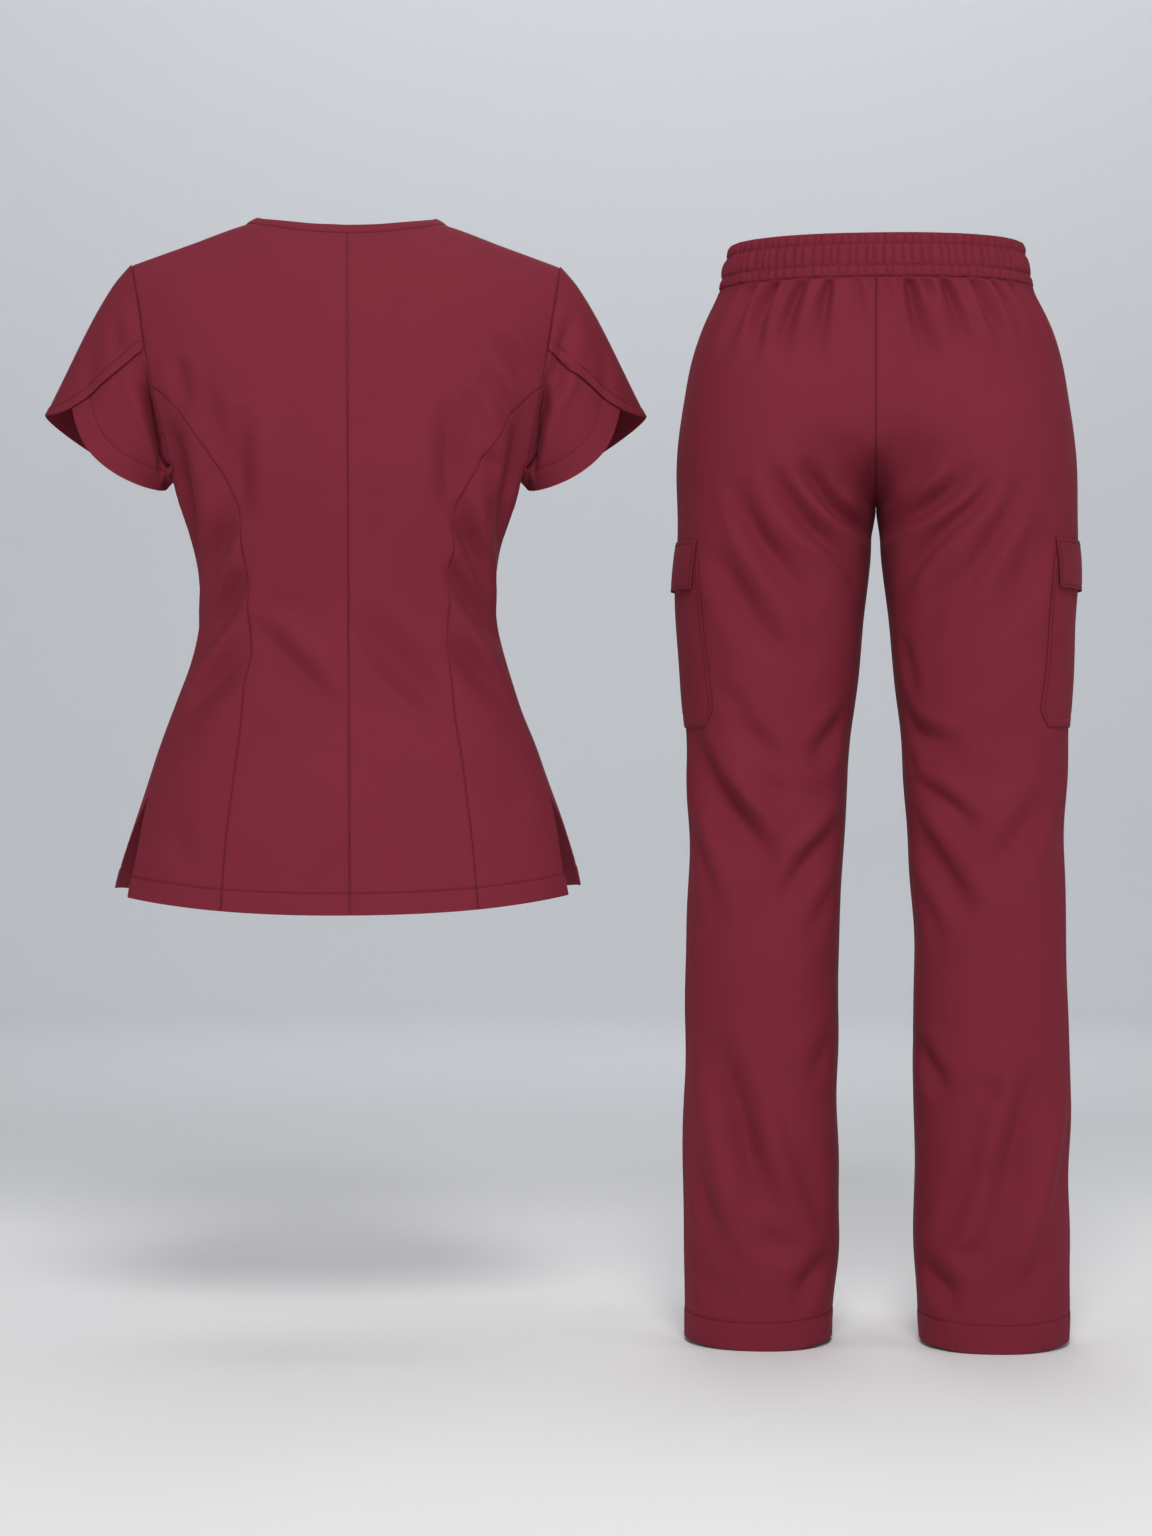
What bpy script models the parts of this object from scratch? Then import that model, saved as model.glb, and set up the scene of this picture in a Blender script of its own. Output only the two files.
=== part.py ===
"""Medical scrubs as a set in worn form: a fitted V-neck top with petal sleeves beside cargo trousers.

Every piece of cloth is a closed wall: a grid of outer points, and inner points one cloth thickness under
them. Pieces that are sewn together share the points along their seam and stand SEAM_GAP apart there.
The rows of a grid run down the garment, and its columns run to the right as seen from outside.
Tables are in millimetres and degrees. The top's heights are measured from its neck points, and the
trousers' heights from the ground under their hems.
"""

import math
from collections import namedtuple

import bpy
import numpy as np

MM = 0.001
CLOTH = 1.5
SEAM_GAP = 0.3
LAYER_GAP = 1.6

TOP_TURN, TOP_LEAN = 3.7, -0.25
TROUSERS_TURN = -4.9
TROUSERS_PLACE = (495.5, 0.0, -1043.0)

TOP_COLOUR = (0.196, 0.029, 0.042)
TROUSERS_COLOUR = (0.188, 0.028, 0.039)
CLOTH_ROUGHNESS = 0.9

# The top's body. Above the armhole's bottom, half_width is that of the ring its panels are cut from.
Section = namedtuple("Section", "height half_width back front")
TOP_SECTIONS = (
    Section(20, 230, 76, 64),
    Section(-38, 228, 86, 80),
    Section(-67, 225, 94, 91),
    Section(-96, 221, 100, 101),
    Section(-120, 217, 104, 109),
    Section(-148, 210, 107, 118),
    Section(-169, 202, 108, 122),
    Section(-195, 189, 108, 127),
    Section(-220, 174, 107, 130),
    Section(-240, 162, 106, 131),
    Section(-257, 157.5, 103, 130),
    Section(-276, 150.5, 100, 127),
    Section(-295, 144.5, 96, 122),
    Section(-332, 138.5, 90, 111),
    Section(-369, 139, 86, 103),
    Section(-407, 146.5, 88, 99),
    Section(-444, 159, 94, 99),
    Section(-500, 180, 105, 104),
    Section(-575, 205, 118, 111),
    Section(-612, 216, 122, 114),
    Section(-645, 222, 125, 115),
)
TOP_SQUARENESS = 2.3
SHOULDER_ROLL = 85

Ridge = namedtuple("Ridge", "out height")
SHOULDER_RIDGE = (
    Ridge(0, 14),
    Ridge(50, 10.5),
    Ridge(94, 0),
    Ridge(146, -19),
    Ridge(200, -38.5),
    Ridge(240, -53),
)
NECKLINE = (Ridge(0, -16), Ridge(40, -13.6), Ridge(74, -6.6), Ridge(94, 0))
NECK_HALF = 94
SHOULDER_HALF = 199.7
V_DEPTH = 170
NECKBAND_WIDTH = 11.5
NECKBAND_THICK = 2.0

Armhole = namedtuple("Armhole", "height back front")
ARMHOLE = (
    Armhole(-38.4, 59.2, 59.2),
    Armhole(-67, 57.8, 56.4),
    Armhole(-96, 56.7, 54.1),
    Armhole(-120, 56.6, 53.0),
    Armhole(-148, 57.4, 52.8),
    Armhole(-169, 59.4, 54.5),
    Armhole(-195.5, 63.3, 59.4),
    Armhole(-220, 71.2, 68.6),
    Armhole(-237, 82.0, 82.0),
    Armhole(-240, 90.0, 90.0),
)
PRINCESS_TOP = -158
UNDERARM = -240

Princess = namedtuple("Princess", "height out")
PRINCESS_SEAM = (
    Princess(-158, 178.2),
    Princess(-169, 165.4),
    Princess(-185, 151.6),
    Princess(-201, 139.5),
    Princess(-224, 124.6),
    Princess(-243, 113.8),
    Princess(-265, 104.5),
    Princess(-288, 98.5),
    Princess(-341, 93.0),
    Princess(-380, 91.0),
    Princess(-432, 94.0),
    Princess(-509, 103.8),
    Princess(-588, 113.1),
    Princess(-640, 116.8),
)

# The side seam lies behind the widest line. Below VENT_TOP the back's edge and the front's part.
SideSeam = namedtuple("SideSeam", "height angle")
SIDE_SEAM = (
    SideSeam(-240, 90),
    SideSeam(-300, 86),
    SideSeam(-380, 82),
    SideSeam(-460, 78),
    SideSeam(-530, 75.5),
)
Vent = namedtuple("Vent", "height back front")
VENT = (
    Vent(-530, 75.5, 75.5),
    Vent(-550, 72.5, 79.0),
    Vent(-570, 69.7, 84.5),
    Vent(-590, 67.2, 88.5),
    Vent(-630, 66.0, 90.0),
)
VENT_TOP = -530
HEM_BACK = -641
HEM_BACK_CORNER = -626
HEM_FRONT = -634
HEM_FRONT_CORNER = -619

# The sleeve on the +X side: its opening's outer and inner corners, and how far the petals' hems belly.
SLEEVE_OUTER_CORNER = (278.5, -180.2)
SLEEVE_INNER_CORNER = (168.0, -247.6)
SLEEVE_AXIS = (0.478, 0.0, -0.878)
SLEEVE_CAP_DIRECTION = (0.64, 0.0, -0.77)
SLEEVE_HALF_DEPTH = 47
BACK_HEM_BELLY = 14
FRONT_HEM_BELLY = 6

# How far down the sleeve each petal reaches, by the turn from the sleeve's outer line to where it overlaps.
PetalEdge = namedtuple("PetalEdge", "turn reach")
FRONT_PETAL_EDGE = (
    PetalEdge(-180, 1.0),
    PetalEdge(-10, 1.0),
    PetalEdge(0, 1.0),
    PetalEdge(18, 0.965),
    PetalEdge(29, 0.93),
    PetalEdge(39, 0.87),
    PetalEdge(47, 0.80),
    PetalEdge(54, 0.70),
    PetalEdge(60.5, 0.55),
    PetalEdge(66, 0.39),
    PetalEdge(70, 0.25),
    PetalEdge(73, 0.12),
    PetalEdge(76, 0.03),
)
BACK_PETAL_EDGE = (
    PetalEdge(-180, 1.0),
    PetalEdge(-100, 1.0),
    PetalEdge(-85, 0.97),
    PetalEdge(-74, 0.935),
    PetalEdge(-60, 0.87),
    PetalEdge(-46, 0.805),
    PetalEdge(-20, 0.69),
    PetalEdge(0, 0.56),
    PetalEdge(25, 0.40),
    PetalEdge(50, 0.22),
    PetalEdge(76, 0.04),
)

# One trouser half: its outline's outermost and innermost points, and its depths behind and in front.
Level = namedtuple("Level", "height outer inner peak back front")
LEG_LEVELS = (
    Level(982, 146.5, 0, 8, 98, 95),
    Level(955, 159, 0, 26, 104, 98),
    Level(917, 171.5, 0, 50, 112, 102),
    Level(880, 179, 0, 68, 119, 105),
    Level(842, 184.5, 0, 82, 122, 107),
    Level(805, 187, 0, 90, 120, 106),
    Level(779, 187, 0, 93, 115, 102),
    Level(760, 186.5, 1.8, 94.5, 111, 99),
    Level(711, 185.5, 5.8, 96, 104, 94),
    Level(664, 184, 11.8, 98, 98, 90),
    Level(617, 181.5, 17.5, 100, 93, 86),
    Level(571, 178.5, 22.3, 100.5, 88, 83),
    Level(524, 177, 25.5, 101.5, 84, 81),
    Level(477, 175, 28.8, 102.5, 81, 79),
    Level(430, 175.5, 32, 104, 80, 78),
    Level(360, 177.5, 34.5, 106, 80, 78),
    Level(266, 179.5, 35, 107, 80, 77),
    Level(126, 180, 35, 107.5, 80, 76),
    Level(79, 180, 35, 107.5, 79, 76),
    Level(35, 179.5, 38.2, 109, 79, 75),
    Level(0, 178.5, 40.5, 109.5, 78, 74),
)
LEG_SQUARENESS = 2.2
CROTCH = 779
SEAT_RISE = 110
SEAT_BLEND = 50
HEM_RISE_SIDE = 4.3
WAIST_FADE = 14

Waist = namedtuple("Waist", "height outer back front puff")
WAISTBAND = (
    Waist(1022.5, 137.0, 95.0, 92.0, 0.9),
    Waist(1012.0, 139.5, 96.0, 93.0, 0.7),
    Waist(992.5, 144.0, 97.5, 94.5, 0.7),
    Waist(982.0, 146.5, 98.0, 95.0, 1.0),
)
WAIST_GATHERS = 88
GATHER_HEIGHT = 1.7
BAND_THIN = 1.2

OUTSEAM_BACK = 25
POCKET_BACK, POCKET_FRONT = 83, 75
FLAP_TOP, POCKET_TOP, FLAP_BOTTOM = 745.3, 729.0, 700.0
POCKET_CORNER, POCKET_BOTTOM = 587.5, 572.5
POCKET_PUFF = 0.6
FLAP_LIFT = 3.8
CORNER_CUT = 0.45

# Folds: troughs along a path of (across, height) points on the garment's back or front.
# One that is held is deepest where it leaves the waist's seam. A sleeve's path is (turn, reach) instead.
Fold = namedtuple("Fold", "face width depth held path")
TOP_FOLDS = (
    Fold("back", 13, 6.0, False, ((-92, -340), (-112, -362), (-134, -392))),
    Fold("back", 14, 4.5, False, ((-95, -396), (-118, -415), (-149, -454))),
    Fold("back", 14, 4.0, False, ((-88, -375), (-68, -397), (-42, -423), (-10, -457))),
    Fold("back", 14, 3.5, False, ((8, -384), (49, -427), (78, -448))),
    Fold("back", 13, 6.0, False, ((96, -332), (114, -358), (140, -386))),
    Fold("back", 14, 4.5, False, ((96, -394), (116, -410), (144, -438))),
    Fold("back", 15, 3.5, False, ((-99, -196), (-101, -268))),
    Fold("back", 15, 3.5, False, ((94, -188), (98, -262))),
    Fold("front", 14, 5.0, False, ((-128, -350), (-96, -372), (-64, -398))),
    Fold("front", 15, 4.0, False, ((-132, -412), (-92, -430), (-48, -446))),
    Fold("front", 14, 5.0, False, ((130, -344), (100, -368), (60, -392))),
    Fold("front", 15, 4.0, False, ((134, -420), (88, -436), (40, -456))),
    Fold("front", 18, 4.0, False, ((-118, -232), (-84, -262), (-62, -300))),
    Fold("front", 18, 4.0, False, ((120, -236), (88, -262), (66, -304))),
)
SLEEVE_FOLDS = (
    Fold("sleeve", 11, 4.5, False, ((96, 0.05), (104, 0.45), (118, 0.90))),
    Fold("sleeve", 11, 4.0, False, ((-104, 0.05), (-112, 0.45), (-124, 0.90))),
)
TROUSER_FOLDS = (
    Fold("back", 9, 4.0, True, ((-113, 982), (-129, 940), (-136, 912))),
    Fold("back", 9, 5.0, True, ((-92, 982), (-106, 947), (-110, 908))),
    Fold("back", 9, 5.0, True, ((-68, 982), (-81, 946), (-85, 908))),
    Fold("back", 9, 5.0, True, ((-42, 982), (-48, 946), (-53, 908))),
    Fold("back", 9, 3.5, True, ((-16, 982), (-17, 938))),
    Fold("back", 9, 5.0, True, ((28, 982), (34, 951), (44, 918), (54, 898))),
    Fold("back", 9, 5.0, True, ((63, 982), (74, 946), (84, 912))),
    Fold("back", 9, 5.0, True, ((88, 982), (104, 947), (115, 918))),
    Fold("back", 9, 4.0, True, ((106, 982), (122, 954), (138, 918))),
    Fold("back", 9, 4.0, True, ((124, 982), (147, 948), (163, 918))),
    Fold("back", 15, 8.0, False, ((-50, 790), (-24, 762), (-3, 748))),
    Fold("back", 15, 8.0, False, ((-104, 796), (-73, 764), (-55, 738), (-20, 712))),
    Fold("back", 16, 6.5, False, ((-138, 780), (-109, 746), (-82, 710), (-60, 676))),
    Fold("back", 17, 4.5, False, ((-150, 730), (-128, 701), (-88, 636))),
    Fold("back", 15, 8.0, False, ((68, 796), (49, 773), (18, 754))),
    Fold("back", 15, 8.0, False, ((106, 788), (76, 759), (28, 716))),
    Fold("back", 16, 6.5, False, ((132, 775), (112, 742), (62, 680))),
    Fold("back", 17, 4.5, False, ((150, 745), (117, 665))),
    Fold("back", 18, 9.0, False, ((-170, 568), (-148, 515), (-120, 479), (-92, 445))),
    Fold("back", 16, 5.0, False, ((-26, 586), (-60, 538))),
    Fold("back", 16, 5.5, False, ((-30, 482), (-56, 455), (-86, 405))),
    Fold("back", 16, 5.5, False, ((24, 602), (36, 570), (82, 550))),
    Fold("back", 16, 6.5, False, ((34, 520), (63, 501), (96, 475))),
    Fold("back", 18, 9.0, False, ((22, 494), (50, 455), (90, 398))),
    Fold("back", 16, 4.5, False, ((160, 512), (127, 465), (102, 432))),
    Fold("back", 19, 8.5, False, ((-152, 288), (-129, 232), (-111, 177), (-90, 124))),
    Fold("back", 19, 7.5, False, ((154, 266), (132, 204), (98, 102))),
    Fold("back", 16, 5.5, False, ((34, 286), (66, 236))),
    Fold("back", 15, 6.5, False, ((-38, 80), (-56, 64), (-74, 44))),
    Fold("back", 15, 6.5, False, ((38, 80), (52, 62), (76, 44))),
    Fold("back", 17, 4.5, False, ((-66, 190), (-42, 102))),
    Fold("back", 17, 4.5, False, ((95, 180), (62, 108))),
    Fold("front", 9, 4.5, True, ((-118, 982), (-130, 946), (-136, 914))),
    Fold("front", 9, 4.5, True, ((-88, 982), (-98, 948), (-104, 912))),
    Fold("front", 9, 5.0, True, ((-60, 982), (-66, 944), (-70, 908))),
    Fold("front", 9, 4.0, True, ((-32, 982), (-34, 950), (-38, 918))),
    Fold("front", 9, 4.0, True, ((30, 982), (33, 948), (38, 916))),
    Fold("front", 9, 5.0, True, ((58, 982), (64, 946), (70, 906))),
    Fold("front", 9, 4.5, True, ((90, 982), (99, 950), (106, 914))),
    Fold("front", 9, 4.5, True, ((116, 982), (129, 950), (138, 916))),
    Fold("front", 16, 7.0, False, ((-112, 800), (-72, 772), (-22, 752))),
    Fold("front", 16, 6.0, False, ((-140, 764), (-96, 730), (-44, 700))),
    Fold("front", 16, 7.0, False, ((108, 796), (70, 768), (20, 750))),
    Fold("front", 16, 6.0, False, ((142, 770), (98, 728), (46, 704))),
    Fold("front", 18, 6.0, False, ((-160, 520), (-112, 490), (-62, 480))),
    Fold("front", 18, 6.5, False, ((-148, 466), (-104, 436), (-52, 430))),
    Fold("front", 18, 6.0, False, ((158, 528), (110, 500), (56, 492))),
    Fold("front", 18, 6.5, False, ((150, 470), (108, 446), (48, 436))),
    Fold("front", 18, 6.0, False, ((-148, 240), (-118, 170), (-92, 112))),
    Fold("front", 18, 6.0, False, ((146, 232), (116, 168), (90, 104))),
    Fold("front", 15, 5.5, False, ((-50, 78), (-76, 58), (-104, 40))),
    Fold("front", 15, 5.5, False, ((52, 76), (78, 56), (108, 42))),
)

NECK_COLUMNS, SHOULDER_COLUMNS, V_COLUMNS, SIDE_COLUMNS, LOWER_ARMHOLE_ROWS = 5, 4, 5, 4, 4
UPPER_ARMHOLE_HEIGHTS = (-38.4, -44, -57, -76, -98, -122, PRINCESS_TOP)
SIDE_ROWS, VENT_ROWS = 12, 4
PETAL_ROWS, OVERLAP_COLUMNS = 6, 5
LEG_ROWS = (
    (981.7, 967, 948, 925, 900, 873, 848, 826, 808, 795, 786, 781, CROTCH, 770, 759)
    + (FLAP_TOP, POCKET_TOP, FLAP_BOTTOM, 664, 627, POCKET_CORNER, POCKET_BOTTOM)
    + (541, 508, 475, 441, 404, 365, 325, 285, 245, 205, 165, 126, 88, 55, 27, 0)
)
SEAT_COLUMNS, POCKET_BACK_COLUMNS, POCKET_FRONT_COLUMNS, LAP_COLUMNS = 8, 2, 4, 7


def smooth(table, name, at, by="height"):
    """One column of a table at any value of another column, on a smooth curve through its rows."""
    rows = sorted(table, key=lambda row: getattr(row, by))
    x = np.array([getattr(row, by) for row in rows], float)
    y = np.array([getattr(row, name) for row in rows], float)
    slope = np.gradient(y, x)
    at = np.clip(at, x[0], x[-1])
    i = np.clip(np.searchsorted(x, at, "right") - 1, 0, len(x) - 2)
    span = x[i + 1] - x[i]
    t = (at - x[i]) / span
    level = (1 + 2 * t) * (1 - t) ** 2 * y[i] + t**2 * (3 - 2 * t) * y[i + 1]
    return level + span * t * (1 - t) * ((1 - t) * slope[i] - t * slope[i + 1])


def unit(vectors):
    return vectors / np.maximum(np.linalg.norm(vectors, axis=-1, keepdims=True), 1e-9)


def mirrored(grid):
    """The same piece on the other side, its columns still running to the right."""
    return grid[:, ::-1] * (-1, 1, 1)


def distances(line):
    """How far along a line each of its points lies."""
    return np.concatenate([[0], np.cumsum(np.linalg.norm(np.diff(line, axis=0), axis=1))])


def resampled(line, count):
    """count + 1 points evenly spaced along a line."""
    along = distances(line)
    wanted = np.linspace(0, along[-1], count + 1)
    return np.column_stack([np.interp(wanted, along, values) for values in line.T])


def steps(heights_at, counts):
    """Heights through the given ones, with the given number of even steps between each two."""
    runs = [np.linspace(a, b, n + 1)[1:] for a, b, n in zip(heights_at, heights_at[1:], counts)]
    return np.concatenate([[heights_at[0]], *runs])


def eased(values, reach=3):
    """Values down a piece's rows, each evened out with its neighbours."""
    padded = np.pad(values, reach, mode="edge")
    return np.convolve(padded, np.full(2 * reach + 1, 1 / (2 * reach + 1)), "valid")


# Cloth walls -------------------------------------------------------------------------------------------


def shared_normals(grids, closed=()):
    """Each grid's normals at its points. Points where pieces meet get one normal between them."""
    names, corners, directions = list(grids), [], []
    for name in names:
        grid = grids[name]
        wide = np.concatenate([grid, grid[:, :1]], axis=1) if name in closed else grid
        face = unit(np.cross(wide[1:, :-1] - wide[:-1, 1:], wide[1:, 1:] - wide[:-1, :-1]))
        total = np.zeros_like(wide)
        for rows in (slice(0, -1), slice(1, None)):
            for columns in (slice(0, -1), slice(1, None)):
                total[rows, columns] += face
        if name in closed:
            total[:, 0] += total[:, -1]
            total = total[:, :-1]
        corners.append(grid.reshape(-1, 3))
        directions.append(total.reshape(-1, 3))
    places = np.round(np.concatenate(corners), 3) + 0.0
    index = np.unique(places, axis=0, return_inverse=True)[1].reshape(-1)
    sums = np.zeros((index.max() + 1, 3))
    np.add.at(sums, index, np.concatenate(directions))
    normals, found, start = unit(sums)[index], {}, 0
    for name in names:
        size = grids[name].shape[0] * grids[name].shape[1]
        found[name] = normals[start : start + size].reshape(grids[name].shape)
        start += size
    return found


def inward(edge, beside, normals):
    """Directions across an edge into the cloth, square to the edge in the cloth's surface."""
    along = np.gradient(edge, axis=0)
    across = unit(np.cross(normals, along))
    return across * np.sign(np.sum(across * (beside - edge), axis=1, keepdims=True))


def drawn_in(grid, normals, closed=False):
    """The grid with each edge moved in by half of the seam's gap."""
    half, moved = SEAM_GAP / 2, grid.copy()
    for row, beside in ((0, 1), (-1, -2)):
        moved[row] += half * inward(grid[row], grid[beside], normals[row])
    if closed:
        return moved
    for column, beside in ((0, 1), (-1, -2)):
        shift = inward(grid[:, column], grid[:, beside], normals[:, column])
        for row in (0, -1):
            other = (moved[row, column] - grid[row, column]) / half
            both = (other + shift[row]) / (1 + np.dot(other, shift[row]))
            moved[row, column] = grid[row, column] + half * both
        moved[1:-1, column] += half * shift[1:-1]
    return moved


def wall_faces(rows, columns, closed):
    """Triangles of a wall whose outer grid's points come first and whose inner grid's follow."""
    ring = columns if closed else columns - 1
    inner, faces = rows * columns, []

    def outer_at(r, c):
        return r * columns + c % columns

    def inner_at(r, c):
        return inner + outer_at(r, c)

    for r in range(rows - 1):
        for c in range(ring):
            a, b, d, e = (outer_at(*place) for place in ((r, c), (r + 1, c), (r + 1, c + 1), (r, c + 1)))
            faces += [(a, b, d), (a, d, e)]
            faces += [(inner + a, inner + d, inner + b), (inner + a, inner + e, inner + d)]
    for c in range(ring):
        for row, turn in ((0, 1), (rows - 1, -1)):
            quad = (outer_at(row, c), outer_at(row, c + 1), inner_at(row, c + 1), inner_at(row, c))[::turn]
            faces += [quad[:3], (quad[0], quad[2], quad[3])]
    if not closed:
        for r in range(rows - 1):
            for column, turn in ((0, -1), (columns - 1, 1)):
                quad = (outer_at(r, column), outer_at(r + 1, column))
                quad = (quad + (inner_at(r + 1, column), inner_at(r, column)))[::turn]
                faces += [quad[:3], (quad[0], quad[2], quad[3])]
    return faces


def new_piece(name, points, faces, colour, stand):
    """A named object with its own cloth material, parented to its garment's empty."""
    mesh = bpy.data.meshes.new(name)
    mesh.from_pydata((np.asarray(points) * MM).tolist(), [], faces)
    mesh.shade_smooth()
    mesh.set_sharp_from_angle(angle=math.radians(50))
    material = bpy.data.materials.new(name + "_cloth")
    material.use_nodes = True
    surface = material.node_tree.nodes["Principled BSDF"]
    surface.inputs["Base Color"].default_value = (*colour, 1.0)
    surface.inputs["Roughness"].default_value = CLOTH_ROUGHNESS
    surface.inputs["Metallic"].default_value = 0.0
    mesh.materials.append(material)
    piece = bpy.data.objects.new(name, mesh)
    piece.parent = stand
    bpy.context.scene.collection.objects.link(piece)
    return piece


def cloth_piece(name, grid, normals, colour, stand, closed=False, lift=0.0, thick=CLOTH):
    """One piece of cloth from its outer grid. lift raises the whole wall off its grid."""
    lift = np.broadcast_to(np.asarray(lift, float), grid.shape[:2])[..., None]
    edge = drawn_in(grid, normals, closed)
    inner = edge + normals * lift
    outer = inner + normals * thick
    if not np.any(lift):
        inner, outer = edge - normals * thick, edge
    points = np.concatenate([outer.reshape(-1, 3), inner.reshape(-1, 3)])
    return new_piece(name, points, wall_faces(*grid.shape[:2], closed), colour, stand)


def sunk(points, normals, folds, lay, strength=1.0, own_side_below=None):
    """Points moved along their normals by a table of folds, which lay puts on the garment.

    Below a height, where a garment parts into two legs, a fold only reaches points on its own side.
    """
    depth = np.zeros(points.shape[:2])
    for fold in folds:
        line = lay(resampled(np.array(fold.path, float), 24), fold.face)
        away = np.linalg.norm(points[:, :, None] - line, axis=3)
        along = away.argmin(axis=2) / (len(line) - 1)
        apart = away.min(axis=2) / fold.width
        fade = np.cos(along * math.pi / 2) if fold.held else np.sin(along * math.pi)
        trough = np.exp(-(apart**2)) - 0.3 * np.exp(-(((apart - 1.9) / 0.8) ** 2))
        amount = fold.depth * trough * np.abs(fade) ** 0.7
        if own_side_below is not None:
            other_leg = (points[..., 2] < own_side_below) & (points[..., 0] * line[0, 0] < 0)
            amount = np.where(other_leg, 0, amount)
        depth += amount
    return points - normals * (depth * strength)[..., None]


# The top -----------------------------------------------------------------------------------------------


def roll(out, height):
    """How much of its full depth the body has at a place, as it rounds over to the shoulder's ridge."""
    fall = (smooth(SHOULDER_RIDGE, "height", out, by="out") - height) / SHOULDER_ROLL
    return np.sqrt(1 - (1 - np.clip(fall, 0, 1)) ** 2)


def top_point(angle, height):
    """A point of the body, by its angle from the centre back (0) past the side (90) to the front (180)."""
    angle = np.radians(angle)
    power = 2 / TOP_SQUARENESS
    out = smooth(TOP_SECTIONS, "half_width", height) * np.abs(np.sin(angle)) ** power
    back, front = (smooth(TOP_SECTIONS, name, height) for name in ("back", "front"))
    depth = np.where(np.cos(angle) > 0, -back, front) * np.abs(np.cos(angle)) ** power
    return np.stack([out, depth * roll(out, height), height + 0 * out], axis=-1)


def angle_at(out, height, front=False):
    """The angle at which the body is a given distance out at a height."""
    share = np.clip(np.abs(out) / smooth(TOP_SECTIONS, "half_width", height), 0, 1)
    angle = np.degrees(np.arcsin(share ** (TOP_SQUARENESS / 2)))
    return 180 - angle if front else angle


def patch(left, right, top, bottom):
    """A grid of (angle, height) places inside four edges, which themselves are lists of such places."""
    longer = left if right[0, 1] < left[0, 1] - 100 else right
    down = ((longer[0, 1] - longer[:, 1]) / (longer[0, 1] - longer[-1, 1]))[:, None, None]
    across = np.linspace(0, 1, len(top))[None, :, None]
    grid = 0
    for edge, near in ((left, 1 - across), (right, across)):
        steady = np.column_stack([eased(edge[:, 0]), edge[:, 1]])
        grid = grid + near * steady[:, None] + near**4 * (edge - steady)[:, None]
    return grid + (1 - down) ** 2 * (top - grid[0]) + down**4 * (bottom - grid[-1])


def places(angles, heights):
    return np.column_stack(np.broadcast_arrays(angles, heights)).astype(float)


def armhole_heights():
    """Heights down the armhole from the shoulder: the part above the princess seam, and the part below."""
    turn = np.linspace(0, math.pi / 2, LOWER_ARMHOLE_ROWS + 1)
    return np.array(UPPER_ARMHOLE_HEIGHTS, float), PRINCESS_TOP + (UNDERARM - PRINCESS_TOP) * np.sin(turn)


def hem_height(angle, centre, corner, corner_angle):
    share = np.sin(np.radians(angle)) / np.sin(np.radians(corner_angle))
    return centre + (corner - centre) * share**2


def shoulder_places(front):
    out = np.linspace(NECK_HALF, SHOULDER_HALF, SHOULDER_COLUMNS + 1)
    heights = smooth(SHOULDER_RIDGE, "height", out, by="out")
    heights[-1] = UPPER_ARMHOLE_HEIGHTS[0]
    angles = angle_at(out, heights, front)
    angles[-1] = 180 - ARMHOLE[0].front if front else ARMHOLE[0].back
    return places(angles, heights)


def side_edge(heights, face):
    """The edge of the back or the front down the side seam and on down the vent."""
    seam, vent = heights[: SIDE_ROWS + 1], heights[SIDE_ROWS + 1 :]
    return places(np.concatenate([smooth(SIDE_SEAM, "angle", seam), smooth(VENT, face, vent)]), heights)


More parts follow.
